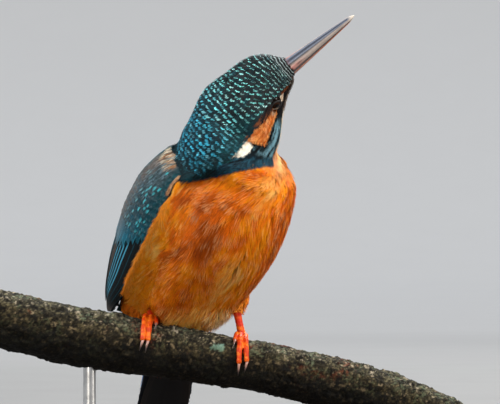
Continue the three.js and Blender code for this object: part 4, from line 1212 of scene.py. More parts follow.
# ------------------------------------------------------------------ back and rump
back = Coat("feathers_back", "scale", "plumage_teal", (9.0, 19.2), (-1.8, 1.8))
rows_s = arc_rows(body, 9.3, 18.9, 0.0, lambda s: 2.6)
S, T = row_roots(body, rows_s, -R(98), R(98), lambda s: 2.4)
reg = region(S, T, 2.0)
k = (reg == MANTLE) & ~under_wing(S, T)
k |= (S < 9.75) & (deg(T) < 88)
k &= (S < 10.2) | (deg(T) < 64)
s, t = S[k], T[k]
P = body(s, t)
n = len(s)
rows = (0, 0.3, 0.55, 0.75, 0.9, 1.0)
prof = (0.4, 0.85, 1.0, 0.95, 0.65, 0.15)
cols = (-1, -0.5, 0, 0.5, 1)
V = lay(body, s + (rng.random(n) - 0.5) * 0.12, t, (rng.random(n) - 0.5) * 0.3, 6.2 + 1.6 * rng.random(n), 3.4, rows, prof, cols, -1.1, 0.05 + (rng.random(n) - 0.5) * 0.2, np.sign(t + 1e-9), cup=0.08, s_lim=(0, 19.0))
V = V + (rng.random(V.shape) - 0.5) * 0.07
C = tone_at(s, t, P, np.full(n, MANTLE)) * (0.8 + 0.4 * rng.random((n, 1)))
azure = (1 - smooth(deg(t), 18, 42))[:, None]
C4 = np.broadcast_to(C[:, None, None], V.shape) * (0.85 + 0.3 * rng.random((n, len(rows), len(cols), 1)))
tipc = lerp(np.broadcast_to(rgb(44, 130, 158), C.shape), rgb(84, 190, 228), azure[:, 0]) * (0.6 + 0.7 * rng.random((n, 1)))
# painted shade: each scale is darker at its root, under the row in front
C4[:, 0:2] = C4[:, 0:2] * 0.7
C4[:, 3:5] = C4[:, 3:5] * 0.7 + tipc[:, None, None] * 0.3
back.add(V, C4, s, t, np.asarray(cols)[None, :], np.asarray(rows)[:, None])
s, t = scatter(body, 9.3, 18.9, -R(98), R(98), 1.5, 150, 150)
k = (region(s, t, 2.0) == MANTLE) & ~under_wing(s, t) & ((s < 10.2) | (deg(t) < 64))
s, t = s[k], t[k]
P = body(s, t)
Cb = lerp(tone_at(s, t, P, np.full(len(s), MANTLE)), rgb(92, 196, 232), (rng.random(len(s)) ** 3) * (1 - smooth(deg(t), 18, 42)) * 0.8)
blades(back, body, s, t, (rng.random(len(s)) - 0.5) * 0.25, 4.0, 0.2, Cb * (0.6 + 0.8 * rng.random((len(s), 1))), n=4, spread=0.5, off=(-0.6, 0.12), lift=0.15, s_lim=(0, 19.0))
back.build()

# ------------------------------------------------------------------ wings
def ribbons(coat, surf, v_edge, s0, s1, width, cols, tone, off, side=1.0, n=26, tip=0.12, inner=1.0, taper=0.55, lim=(-0.02, 1.02)):
    """Long feathers. v_edge(a): the path of the outer edge; width in mm towards +v (inner=1) or -v.
    cols: share of the width from the outer edge. tone: (cols, 3)."""
    a = np.linspace(0, 1, n)
    s = s0 + (s1 - s0) * a
    v = v_edge(a)
    Pt = (surf(s, v + 0.004) - surf(s, v - 0.004)) / 0.008
    dv = width / np.maximum(np.linalg.norm(Pt, axis=-1), 1e-6)
    # the tip rounds off from the inner web towards the outer edge
    shape = np.where(a > 1 - tip, np.sqrt(np.clip(1 - ((a - (1 - tip)) / tip) ** 2, 0.0, 1)), 1.0)
    shape = np.maximum(shape, 0.05) * (1 - (1 - taper) * a**2)
    c = np.asarray(cols)
    vv = v[:, None] + inner * c[None, :] * (dv * shape)[:, None]
    ss = np.broadcast_to(s[:, None], vv.shape)
    o = off(a[:, None], c[None, :]) if callable(off) else np.full(vv.shape, off)
    V = surf(ss, np.clip(vv, *lim), o)
    V = V[None]
    C = np.broadcast_to(tone(a[:, None], c[None, :]), (n, len(c), 3))[None]
    if side < 0:
        V, C, across = V[:, :, ::-1], C[:, :, ::-1], -(c[::-1] * 2 - 1)
    else:
        across = c * 2 - 1
    # the patch follows the feather along its own line on the unwrap
    N, r, k = V.shape[:3]
    u0, u1 = coat.t_span
    w0, w1 = coat.s_span
    uv = np.stack([(np.clip(vv, *lim) - u0) / (u1 - u0), (ss - w0) / (w1 - w0)], -1)
    if side < 0:
        uv = uv[:, ::-1]
    coat.U.append((0.01 + 0.98 * np.clip(uv, 0, 1)).reshape(-1, 2))
    coat.W.append(np.broadcast_to(np.stack([np.broadcast_to(across * 0.5 + 0.5, (r, k)), np.broadcast_to(a[:, None], (r, k))], -1), (1, r, k, 2)).reshape(-1, 2))
    coat.V.append(V.reshape(-1, 3))
    coat.C.append(C.reshape(-1, 3).copy())
    coat.shape.append((1, r, k))


for name, side in SIDES.items():
    surf = wing_coat(side)
    # which way round the rows must run so that the faces look out
    P_, Ps_, Pt_, N_ = frame_at(surf, np.array([4.0]), np.array([0.5]))
    order = 1.0 if float(dot(np.cross(Ps_, Pt_), N_)[0, 0]) > 0 else -1.0
    flight = Coat(f"feathers_flight_{name}", "flight", "flight_feathers", (-0.2, 9.2), (-0.02, 1.02))
    blue, black, brown, teal = rgb(58, 132, 156), rgb(5, 9, 12), rgb(98, 88, 82), rgb(18, 78, 94)
    # v of each feather's outer edge, its edge tone and how far that tone reaches across it
    def edge_tone(v0):
        if v0 < 0.035:
            return teal * 0.35, 0.05
        if v0 < 0.19:
            return (teal * 0.9, 0.05) if 0.05 < v0 < 0.09 or 0.13 < v0 < 0.16 else (black * 1.6, 0.05)
        if v0 < 0.375:
            return blue, 0.19
        # painted sheen: brown edges across the wing's middle band
        if v0 < 0.5:
            return brown * 1.15, 0.1
        return teal * 0.75, 0.3

    edges = [0.0, 0.035, 0.07, 0.105, 0.14, 0.175, 0.21, 0.253, 0.296, 0.339, 0.385, 0.43, 0.47]
    for k, v0 in enumerate(edges):
        s_tip = 9.0 - 0.05 * max(0, 3 - k) - 0.13 * max(0, k - 3)
        own = 0.85 + 0.3 * rng.random()
        hue, reach = edge_tone(v0)

        def tone(a, c, own=own, hue=hue, reach=reach, v0=v0):
            a, c = np.broadcast_arrays(a, c)
            stripe = (c < reach) * (1 - smooth(a, 0.62, 0.86) * (v0 < 0.37))
            # brown towards the tip; the brown cast over the middle band's feathers is painted sheen
            C = lerp(black, brown * 0.8, smooth(a, 0.78, 0.97) * 0.8 + 0.25 * (v0 > 0.37))
            return (C * (1 - stripe[..., None]) + hue * stripe[..., None]) * own

        ribbons(flight, surf, lambda a, v0=v0, k=k: v0 + (0.08 + 0.2 * v0) * np.clip((a - 0.45) / 0.55, 0, 1) ** 1.5, 2.7, s_tip, 4.6, (0, 0.035, 0.06, 0.17, 0.21, 0.45, 0.8, 1.0), tone, lambda a, c, k=k: -1.1 + 0.07 * k - 0.12 * c + 0.0 * a, order, n=34, tip=0.07)
    # inner secondaries and tertials lie over the primaries towards the back
    sec = [0.5, 0.55, 0.6, 0.66, 0.72, 0.785, 0.85, 0.92]
    for k, v0 in enumerate(sec):
        s_tip = 8.0 - 0.2 * k
        own = 0.85 + 0.3 * rng.random()

        def tone(a, c, own=own):
            a, c = np.broadcast_arrays(a, c)
            stripe = (c < 0.3)[..., None]
            webs = lerp(rgb(18, 84, 100), rgb(40, 88, 98), smooth(a, 0.5, 1.0))
            C = black * (1 - stripe) + webs * stripe
            return C * own

        ribbons(flight, surf, lambda a, v0=v0: v0 - 0.06 * a**1.6 + 0.0 * a, 2.4, s_tip, 5.6, (0, 0.08, 0.28, 0.32, 0.6, 0.85, 1.0), tone, lambda a, c, k=k: -0.1 + 0.045 * k - 0.12 * c + 0.0 * a, order, n=26, tip=0.13)
    # greater coverts, pointed
    for k, v0 in enumerate(np.linspace(0.01, 0.93, 19)):
        s_tip = np.interp(v0, [0, 0.08, 0.16, 0.24, 0.36, 0.5, 1.0], [3.5, 3.62, 3.82, 4.12, 4.5, 4.45, 4.1]) + rng.uniform(-0.09, 0.09)
        own = 0.8 + 0.4 * rng.random()

        def tone(a, c, k=k, own=own, v0=v0):
            a, c = np.broadcast_arrays(a, c)
            edge = ((c < 0.1) | (c > 0.9)) * 1.0
            C = lerp(rgb(12, 58, 70), rgb(15, 86, 106), smooth(a, 0.2, 0.9))
            # painted sheen: grey over the wing's middle band
            C = lerp(C, rgb(84, 96, 102), (0.25 + 0.6 * smooth(v0, 0.3, 0.45) - 0.25 * (v0 < 0.3)) * (1 - 0.8 * smooth(v0, 0.52, 0.68)))
            C = lerp(C, rgb(70, 166, 190), edge * smooth(a, 0.3, 0.8) * 0.45)
            C = lerp(C, black, (np.abs(c - 0.5) < 0.06) * 0.35)
            return C * own

        ribbons(flight, surf, lambda a, v0=v0: v0 - 0.02 * a, 1.9, s_tip, 4.2, (0, 0.08, 0.12, 0.44, 0.5, 0.56, 0.88, 0.92, 1.0), tone, lambda a, c, k=k: 0.02 + 0.02 * k - 0.35 * (c - 0.5) ** 2 + 0.12 * a, order, n=18, tip=0.42, taper=0.8)
    flight.build()

    coverts = Coat(f"feathers_coverts_{name}", "scale", "plumage_teal", (-0.3, 4.2), (-0.1, 1.1))
    rows_s = arc_rows(surf, 0.0, 2.95, 0.3, lambda s: np.interp(s, [0, 1.5, 3], [1.9, 2.2, 2.7]))
    S, T = row_roots(surf, rows_s, 0.0, 1.0, lambda s: 2.05)
    S = S + (rng.random(len(S)) - 0.5) * 0.09
    rows = (0, 0.3, 0.55, 0.78, 0.92, 1.0)
    prof = (0.4, 0.85, 1.0, 0.9, 0.6, 0.15)
    cols = (-1, -0.5, 0, 0.5, 1)
    L = np.interp(S, [0, 1.5, 3], [4.2, 4.8, 6.2])
    def buff_at(s, v):
        top = np.interp(v, [0.15, 0.3, 0.42, 0.6, 0.72, 0.86], [0.5, 0.82, 0.74, 0.5, 0.3, 0.05])
        return smooth(top - s, -0.04, 0.1) * smooth(v, 0.17, 0.24) * (1 - smooth(v, 0.76, 0.88))

    # the other shoulder is tucked under the breast
    hide = S + L * 0.8 / 11 < 1.7 - 2.4 * np.clip(T, 0, 0.6) if side > 0 else np.zeros(len(S), bool)
    hide |= T < edge_v(S + L / 11.0) + 0.004
    hide |= (buff_at(S + L * 0.6 / 11.0, T) > 0.4) & (side < 0)
    S, T, L = S[~hide], T[~hide], L[~hide]
    n = len(S)
    V = lay(surf, S, T, (rng.random(n) - 0.5) * 0.16 - 0.05, L, 2.9, rows, prof, cols, -0.95, 0.22 + 0.1 * S + (rng.random(n) - 0.5) * 0.14, 1.0, cup=0.08)
    V = V + (rng.random(V.shape) - 0.5) * 0.05
    P = surf(S, T)
    grn = fbm(P, 2.6, 81, 3)[:, None]
    zone = lambda v: smooth(v, 0.34, 0.62)
    S_tip = S + L * 0.7 / 11.0

    def wing_tone(s, v, g):
        C = lerp(rgb(10, 62, 70), rgb(46, 62, 66), smooth(v, 0.1, 0.22))
        # painted sheen: a grey-brown band across the middle rows stands for the teal's sheen
        C = lerp(C, rgb(98, 88, 82), smooth(v, 0.34, 0.52) * (1 - smooth(v, 0.56, 0.74)) * 0.9)
        C = lerp(C, rgb(16, 86, 96), smooth(v, 0.56, 0.76) * 0.9)
        C = lerp(C, rgb(9, 66, 78), smooth(s, 2.3, 3.2) * (1 - smooth(v, 0.2, 0.4)) * 0.7)
        return C * (0.55 + 0.9 * g)

    C = wing_tone(S_tip, T, grn)
    buff = buff_at(S_tip, T)
    C = lerp(C, rgb(222, 178, 132), np.clip(buff * (0.4 + 0.9 * rng.random(n)), 0, 1))
    C4 = np.broadcast_to(C[:, None, None], V.shape) * (0.8 + 0.4 * rng.random((n, len(rows), len(cols), 1)))
    # painted shade: each scale is darker at its root and tip, except on the buff patch
    C4 = C4 * (np.array([0.6, 0.85, 1.0, 1.1, 0.95, 0.6])[None, :, None, None] * (1 - buff[:, None, None, None]) + buff[:, None, None, None])
    # painted highlight along each scale's side edges
    painted_edge_highlight = np.broadcast_to(rgb(112, 136, 146), C.shape)
    for ci in (0, -1):
        C4[:, 2:5, ci] = C4[:, 2:5, ci] * 0.6 + painted_edge_highlight[:, None] * 0.4 * (1 - buff[:, None, None])
    coverts.add(V, C4, S, T, np.asarray(cols)[None, :], np.asarray(rows)[:, None])
    if side < 0:
        s, t = scatter(surf, -0.12, 0.7, 0.42, 1.03, 2.0, 20, 40)
        C = wing_tone(s, t, 0.2 + 0.6 * rng.random((len(s), 1))) * (0.6 + 0.6 * rng.random((len(s), 1)))
        # painted shade: darker roots
        blades(coverts, surf, s, t, (rng.random(len(s)) - 0.5) * 0.3, 4.4, 0.3, C, n=5, spread=0.5, off=(-5.2, 0.25), lift=0.2, sgn=1.0, roll=0.5, root=C * 0.6)
    # pale drops near the tips, brightest in the two rows above the plain leading band
    k = (S_tip > 1.0) & (T > 0.125) & (T < 0.9) & (rng.random(n) < np.interp(T, [0.12, 0.2, 0.44, 0.55, 1.0], [0.8, 0.45, 0.45, 0.2, 0.15]))
    s, v = S[k] + 0.62 * L[k] / 11.0 + (rng.random(k.sum()) - 0.5) * 0.06, T[k] + (rng.random(k.sum()) - 0.5) * 0.02
    glow = np.interp(v, [0.1, 0.14, 0.2, 0.34, 0.44, 0.6, 1.0], [0.2, 0.9, 0.85, 0.75, 0.45, 0.28, 0.2]) * (0.45 + 0.55 * rng.random(len(s)))
    C = lerp(rgb(78, 200, 212), rgb(138, 180, 186), smooth(v, 0.2, 0.42))
    C = lerp(wing_tone(s, v, np.full((len(s), 1), 0.5)), C, glow * (1 - 0.5 * smooth(s, 3.1, 3.5)))
    blades(coverts, surf, s, v, (rng.random(len(s)) - 0.5) * 0.25, 1.3 + 0.9 * rng.random(len(s)), 0.32, C, n=4, spread=0.28 + 0.12 * rng.random(len(s)), fan=0.05, off=(0.18, 0.5), lift=0.05, sgn=1.0, rows=(0, 0.35, 0.75, 1.0), prof=(0.5, 1.0, 0.8, 0.3), roll=0.2, slide=0.12, vary=0.2, root=C)
    # hair-fine webs over the coverts, a few pale grey and brown towards the back as painted sheen
    s, t = scatter(surf, 0.0, 3.5, 0.02, 0.98, lambda s, v: 1.1 + 1.6 * buff_at(s, v), 60, 70)
    if side > 0:
        k = ~(s < 1.7 - 2.5 * np.clip(t, 0, 0.6))
        s, t = s[k], t[k]
    C = wing_tone(s, t, 0.15 + 0.9 * rng.random((len(s), 1)))
    C = lerp(C, lerp(rgb(120, 150, 164), rgb(150, 138, 128), smooth(t, 0.4, 0.6)), (rng.random(len(s)) ** 3.0) * smooth(t, 0.12, 0.22))
    buff = buff_at(s + 0.12, t)
    wht = lerp(rgb(176, 116, 66), rgb(255, 236, 204), smooth(lines(s * 1.2, t * 1.4, surf(s, t), 0.7, 5.0, 88, 1.0), 0.25, 0.7)) * (0.7 + 0.4 * rng.random((len(s), 1)))
    C = lerp(C, wht, buff * (rng.random(len(s)) < 0.8))
    blades(coverts, surf, s, t, (rng.random(len(s)) - 0.5) * 0.2, 3.4 + rng.random(len(s)), 0.18, C, n=4, spread=0.4, off=(-0.5 - 0.5 * buff, 0.3), lift=0.14, sgn=1.0, roll=0.6)
    if side < 0:
        # a short warm wedge at the shoulder's front edge and a black line beside it
        s = rng.uniform(0.8, 1.5, 190)
        t = edge_v(s) + 0.016 + rng.random(190) * 0.02
        C = lerp(rgb(150, 92, 54), rgb(226, 184, 140), rng.random(190) ** 1.5) * (0.7 + 0.5 * rng.random((190, 1)))
        blades(coverts, surf, s, t, rng.normal(-0.05, 0.1, 190), 2.0 + rng.random(190), 0.16, C, n=4, spread=0.22, off=(-0.3, 0.34), lift=0.14, sgn=1.0)
        s = rng.uniform(0.3, 1.75, 260)
        t = edge_v(s) - 0.006 + rng.random(260) * 0.012
        blades(coverts, surf, s, t, np.full(260, -0.04), 2.6, 0.2, np.broadcast_to(rgb(8, 9, 11), (260, 3)), n=3, spread=0.2, off=(-0.3, 0.4), lift=0.1, sgn=1.0)
    # the flank's feathers lap over the folded wing's edge
    flank = flank_of(side)
    s, t = scatter(flank, 0.75 if side < 0 else -0.2, 6.1, 0.0, 1.0, 1.6, 110, 12)
    k = t < 0.97 - 0.12 * rng.random(len(s)) ** 2 - 0.45 * smooth(s, 5.4, 6.1)
    s, t = s[k], t[k]
    P = flank(s, t)
    A = np.interp(s, np.arange(10), [w[6] for w in WING]) + 17 - 22 * t
    C = tones(FLANK_S(s), R(A), P) * (0.8 + 0.4 * rng.random((len(s), 1)))
    # painted highlight: a few tufts pale
    C = lerp(C, rgb(255, 196, 106), (rng.random(len(s)) < 0.08) * 0.5)
    rim = smooth(t, 0.5, 0.85)
    # painted shade at the strands' roots
    blades(coverts, flank, s, t, (0.16 + (noise(P, 6.0, 67) - 0.5) * 0.5) * (1 - rim) - 0.02 * rim, 5.6, 0.18, C, n=7, spread=0.55 - 0.36 * rim, off=(-1.2, 0.05 + 0.4 * t), lift=0.22, sgn=1.0, roll=0.5, root=C * 0.5, tip=C * 1.22, slide=0.5, bend=(noise(P, 9.0, 61) - 0.5) * 0.4 * (1 - rim))
    # bright strands run along the edge itself
    s = rng.uniform(1.5, 5.7, 420)
    t = 0.98 - 0.14 * rng.random(420) ** 1.5 - 0.3 * smooth(s, 4.8, 5.7) * rng.random(420)
    P = flank(s, t)
    C = lerp(ORANGE, STRAW, (rng.random(420) ** 2) * 0.5) * (0.7 + 0.4 * rng.random((420, 1)))
    # painted shade at the roots
    blades(coverts, flank, s, t, -0.03 + 0.05 * rng.normal(0, 1, 420), 6.2, 0.17, C, n=5, spread=0.3, off=(-0.6, 0.5), lift=0.16, sgn=1.0, roll=0.5, root=C * 0.6, tip=C, slide=0.5)
    if side > 0:
        # breast feathers lap over the hidden shoulder; their pale cast is a painted highlight, their darker roots
        # painted shade
        s, t = scatter(surf, -0.1, 1.75, -0.04, 0.5, 2.0, 30, 30)
        k = s < 1.85 - 2.6 * np.clip(t, 0, 0.5) + 0.25 * rng.random(len(s))
        s, t = s[k], t[k]
        P = surf(s, t)
        C = tones(9.4 + s, np.full(len(s), R(112)), P) * (0.75 + 0.5 * rng.random((len(s), 1)))
        C = lerp(C, rgb(250, 170, 86), 0.5 * rng.random(len(s)))
        s2, t2 = scatter(body, 8.5, 10.6, R(84), R(110), 2.4, 30, 30)
        C2 = tones(np.maximum(s2, 9.4), np.full(len(s2), R(116)), body(s2, t2)) * (0.75 + 0.5 * rng.random((len(s2), 1)))
        C2 = lerp(C2, rgb(252, 190, 116), 0.2 + 0.6 * rng.random(len(s2)))
        blades(coverts, body, s2, t2, -0.3 + (rng.random(len(s2)) - 0.5) * 0.4, 5.0, 0.22, C2, n=6, spread=0.55, off=(-1.0, 0.7), lift=0.2, sgn=1.0, roll=0.6, root=C2 * 0.6, s_lim=(0, 19.0))
        blades(coverts, surf, s, t, (noise(P, 6.0, 66) - 0.5) * 0.5, 4.2, 0.24, C, n=6, spread=0.55, off=(-1.3, 0.2), lift=0.2, sgn=1.0, roll=0.6, root=C * 0.5)
    coverts.build()

# ------------------------------------------------------------------ tail
tailc = Coat("feathers_tail", "flight", "flight_feathers", (-0.2, 11.2), (-1.1, 1.1))
for face_ in (1, -1):
    surf = tail_of(face_)
    P_, Ps_, Pt_, N_ = frame_at(surf, np.array([2.0]), np.array([0.1]))
    order = 1.0 if float(dot(np.cross(Ps_, Pt_), N_)[0, 0]) > 0 else -1.0
    for sgx in (-1, 1):
        for k in range(6):
            # k 0 is the middle pair, which lies on top
            x0 = sgx * (0.36 + 0.126 * k)
            own = 0.85 + 0.3 * rng.random()

            def tone(a, c, own=own, face_=face_, k=k):
                a, c = np.broadcast_arrays(a, c)
                if face_ > 0:
                    C = lerp(rgb(18, 66, 118), rgb(14, 46, 84), smooth(c, 0.15, 0.9))
                    C = lerp(C, rgb(34, 108, 168), (c < 0.1) * 0.45)
                else:
                    C = lerp(rgb(24, 21, 21), rgb(15, 15, 18), smooth(c, 0.2, 0.9))
                    C = lerp(C, rgb(70, 62, 56), (c < 0.06) * 0.7)
                return C * own

            lift = (0.34 - 0.055 * k) if face_ > 0 else (0.04 + 0.055 * k)
            ribbons(tailc, surf, lambda a, x0=x0: x0 * (0.72 + 0.28 * a), 0.0, 4.97 - 0.06 * (k > 4), 6.2, (0, 0.07, 0.12, 0.3, 0.5, 0.75, 1.0), tone, lambda a, c, lift=lift: lift - 0.1 * c + 0.0 * a, order * (-sgx), n=22, tip=0.13, inner=-sgx, taper=0.95, lim=(-1.02, 1.02))
tailc.build()
covt = Coat("feathers_tail_coverts", "down", "plumage_teal", (-0.3, 5.0), (-1.1, 1.1))
# the under coverts' rufous is darkened as painted shade under the tail
for face_, col, reach in ((1, rgb(34, 168, 226), 1.7), (-1, rgb(150, 60, 20), 0.55)):
    surf = tail_of(face_)
    s, t = scatter(surf, 0.0, reach, -0.85, 0.85, 1.1, 30, 40)
    C = np.broadcast_to(col, (len(s), 3)) * (0.45 + 0.8 * rng.random((len(s), 1)))
    blades(covt, surf, s, t, (rng.random(len(s)) - 0.5) * 0.2, 6.5 + rng.random(len(s)), 0.34, C, n=5, spread=0.6, off=(-0.2, 0.7), lift=0.2, sgn=np.sign(t), s_lim=(0, 4.9))
covt.build()

# ------------------------------------------------------------------ thighs
for name in SIDES:
    surf = thigh_of(name)
    th = Coat(f"feathers_thigh_{name}", "down", "plumage_orange", (-0.2, 5.0), (-PI, PI))
    s, t = scatter(surf, 0.4, 3.95, -PI, PI, 1.9, 60, 90)
    if name == "right":
        k = ~over_shank(surf(s + 0.5, t))
        s, t = s[k], t[k]
    P = surf(s, t)
    C = tones(np.full(len(s), 16.0), np.full(len(s), 2.6), P)
    if name == "left":
        C = lerp(C, rgb(252, 176, 70), np.clip(0.25 + 0.45 * smooth(s, 1.6, 3.4), 0, 1) * (0.3 + 0.7 * rng.random(len(s))))
    else:
        C = lerp(C, rgb(240, 136, 44), 0.45)
    C = C * (0.75 + 0.5 * rng.random((len(s), 1)))
    loose = rng.random(len(s)) ** 2
    left = name == "left"
    L = np.interp(s, [0, 2, 3.2, 4], [6.0, 5.4, 3.8, 2.4]) * (0.8 + (0.5 if left else 0.25) * loose)
    W = np.interp(s, [0, 3, 4], [0.28, 0.2, 0.15])
    up = 0.1 + (1.9 if left else 0.9) * loose * smooth(s, 1.5, 3.0)
    # painted shade: darker roots
    blades(th, surf, s, t, (noise(P, 5.0, 91) - 0.5) * 1.0, L, W, C, n=6, spread=np.interp(s, [0, 3, 4], [0.55, 0.4, 0.25]), fan=0.2, off=(-1.0, up), lift=0.35, sgn=1.0, es=0.01, s_lim=(0, 4.6 if left else 4.35), roll=0.9, root=C * 0.5, tip=C * 1.2, slide=0.5)
    th.build()

# =========================================================== the skin under the coat
def ring_grid(surf, s, t, off):
    Sg, Tg = np.meshgrid(s, t, indexing="ij")
    return surf(Sg, Tg, off(Sg, Tg) if callable(off) else off)


around = np.linspace(-PI, PI, 72, endpoint=False)
forms, samples, sample_tones = [], [], []
off_body = lambda S, T: -np.interp(S, [0, 1, 3, 6, 10, 19], [0.8, 1.0, 1.15, 1.4, 1.8, 1.7])
Gb = ring_grid(form, np.linspace(0.25, 18.8, 120), around, off_body)
forms.append(signed(*capped(Gb)))
Sg, Tg = np.meshgrid(np.linspace(0.25, 18.8, 120), around, indexing="ij")
samples.append(Gb.reshape(-1, 3))
reg = region(Sg.ravel(), Tg.ravel(), 0)
# the skin takes the coat's tones, darkened as painted shade under the feathers
sample_tones.append(tone_at(Sg.ravel(), Tg.ravel(), Gb.reshape(-1, 3), reg) * 0.55)
for name, side in SIDES.items():
    surf = wing_of(side)
    ss = np.linspace(0.15, 8.85, 60)
    vv = np.linspace(0.03, 0.97, 22)
    thick = (WING_THICK[0] + (WING_THICK[1] - WING_THICK[0]) * ss / 9)[:, None]
    Sg, Tg = np.meshgrid(ss, vv, indexing="ij")
    top = surf(Sg, Tg, -1.25)
    low = surf(Sg, Tg, -np.broadcast_to(thick, Sg.shape) + 0.35)
    G = np.concatenate([top, low[:, ::-1]], axis=1)
    forms.append(signed(*capped(G)))
    samples.append(G.reshape(-1, 3))
    dull = np.broadcast_to(rgb(16, 24, 28), (G.size // 3, 3)).copy()
    if side > 0:
        Vg = np.concatenate([np.broadcast_to(vv, Sg.shape), np.broadcast_to(vv[::-1], Sg.shape)], axis=1).ravel()
        Sa = np.concatenate([Sg, Sg], axis=1).ravel()
        dull[Sa < 1.5 - 2.2 * Vg] = rgb(150, 68, 20)
        dull[(Sa < 2.6) & (Vg < 0.12)] = rgb(150, 68, 20)
    sample_tones.append(dull)
    tsurf = thigh_of(name)
    ss = np.linspace(0.0, 3.97, 40)
    G = ring_grid(tsurf, ss, np.linspace(-PI, PI, 40, endpoint=False), lambda S, T: -np.interp(S, [0, 2, 3, 4], [0.9, 1.3, 1.4, 0.9]))
    forms.append(signed(*capped(G)))
    samples.append(G.reshape(-1, 3))
    sample_tones.append(np.broadcast_to(rgb(190, 104, 40), (G.size // 3, 3)))
ang = np.linspace(0, 2 * PI, 40, endpoint=False)
rings = []
for sv in np.linspace(0, 4.9, 30):
    u, half, thick, shift = spline(TAIL, np.array(sv))
    cx, cy = np.cos(ang), np.sin(ang)
    k = (np.abs(cx) ** 2.6 + np.abs(cy) ** 2.6) ** (-1 / 2.6)
    hx, ty = half - 0.4, max(thick - 0.12, 0.6)
    rings.append(in_body(u, shift + hx * cx * k, ty * cy * k + TAIL_DISH * (hx * cx) ** 2))
rings.insert(0, in_body(-9.0, 7.0 * np.cos(ang), 2.4 * np.sin(ang)))
G = np.array(rings)
forms.append(signed(*capped(G)))
samples.append(G.reshape(-1, 3))
sample_tones.append(np.broadcast_to(rgb(26, 30, 38), (G.size // 3, 3)))

V, q, t = join(forms)
me, P, loops = remeshed("skin", V, q, t, 0.66, 2)
SP, ST = np.concatenate(samples), np.concatenate(sample_tones)
tree = kdtree.KDTree(len(SP))
for i, p in enumerate(SP):
    tree.insert(p, i)
tree.balance()
near = np.array([tree.find(p)[1] for p in P])
add_colour(me, ST[near] * (0.85 + 0.3 * fbm(P, 1.2, 4, 2))[:, None])
skin_mat, nt, p = new_mat("skin")
tone = node(nt, "ShaderNodeAttribute", attribute_name="tone")
nt.links.new(tone.outputs["Color"], p.inputs["Base Color"])
bmp = node(nt, "ShaderNodeBump")
feed(nt, bmp, Strength=0.6, Distance=0.0003, Height=object_noise(nt, 0.6, 3.0, stretch=(1, 1, 0.5)))
nt.links.new(bmp.outputs[0], p.inputs["Normal"])
p.inputs["Roughness"].default_value = 0.85
p.inputs["Specular IOR Level"].default_value = 0.15
SKIN_NODES = ["head", "neck", "breast", "belly", "thigh_right", "thigh_left", "wing_right", "wing_left", "tail"]
skin = place("skin", me, skin_mat, SKIN_NODES)
COUNT["skin"] = len(me.polygons) * 2

# =========================================================== bill
def bill_half(upper, n=72, m=28):
    t = np.linspace(0, 1, n)
    x = -1.5 + (BILL_LENGTH - (0 if upper else 0.8) + 1.5) * t
    taper = 1 - 0.8 * t**1.12
    tip = np.sqrt(np.maximum(0.02, 1 - np.maximum(0, (t - 0.9) / 0.1) ** 2))
    hgt = 4.1 * taper * tip
    wid = 3.2 * (1 - 0.74 * t**1.1) * tip
    seam = -0.5 * taper
    height = np.maximum((hgt - seam if upper else hgt + seam) - 0.15, 0.35)
    a = np.linspace(0, PI, m)
    # a ridge along the top, flat sides, a sharp cutting edge
    e = 0.78 if upper else 0.82
    px_ = np.sign(np.cos(a)) * np.abs(np.cos(a)) ** e
    py_ = np.abs(np.sin(a)) ** 0.9
    px_ = px_ * (1 - 0.12 * np.sin(a) ** 8)
    if not upper:
        py_ = -py_
    # the culmen stands a little proud near the root, with a groove beside it
    groove = -0.16 * np.exp(-(((a - 0.9) / 0.16) ** 2)) - 0.16 * np.exp(-(((PI - a - 0.9) / 0.16) ** 2)) if upper else 0 * a
    fade = np.clip(1 - t / 0.55, 0, 1)
    k = 1 + groove[None, :] * fade[:, None] * 0.9
    # the nostril, a slit low beside the root
    X = x[:, None] + 0 * a[None]
    if upper:
        for ac in (0.52, PI - 0.52):
            k = k - 0.13 * np.exp(-(((X - 3.6) / 1.5) ** 2) - (((a[None] - ac) / 0.09) ** 2))
    G = (
        BILL_BASE
        + billDir * X[..., None]
        + headLeft * (px_[None] * k * wid[:, None])[..., None]
        + crownDir * (seam[:, None] + (0.15 if upper else -0.15) + py_[None] * k * height[:, None])[..., None]
    )
    flat = G[:, 1:-1][:, ::-1] * 1.0
    inner = seam[:, None, None] * crownDir + BILL_BASE + billDir * x[:, None, None]
    mid = inner + (flat - inner) * np.array([1.0]) * 0 + headLeft * (((flat - inner) @ headLeft)[..., None]) + crownDir * (0.15 if upper else -0.15)
    ring = np.concatenate([G, mid], axis=1)
    return ring, t, a


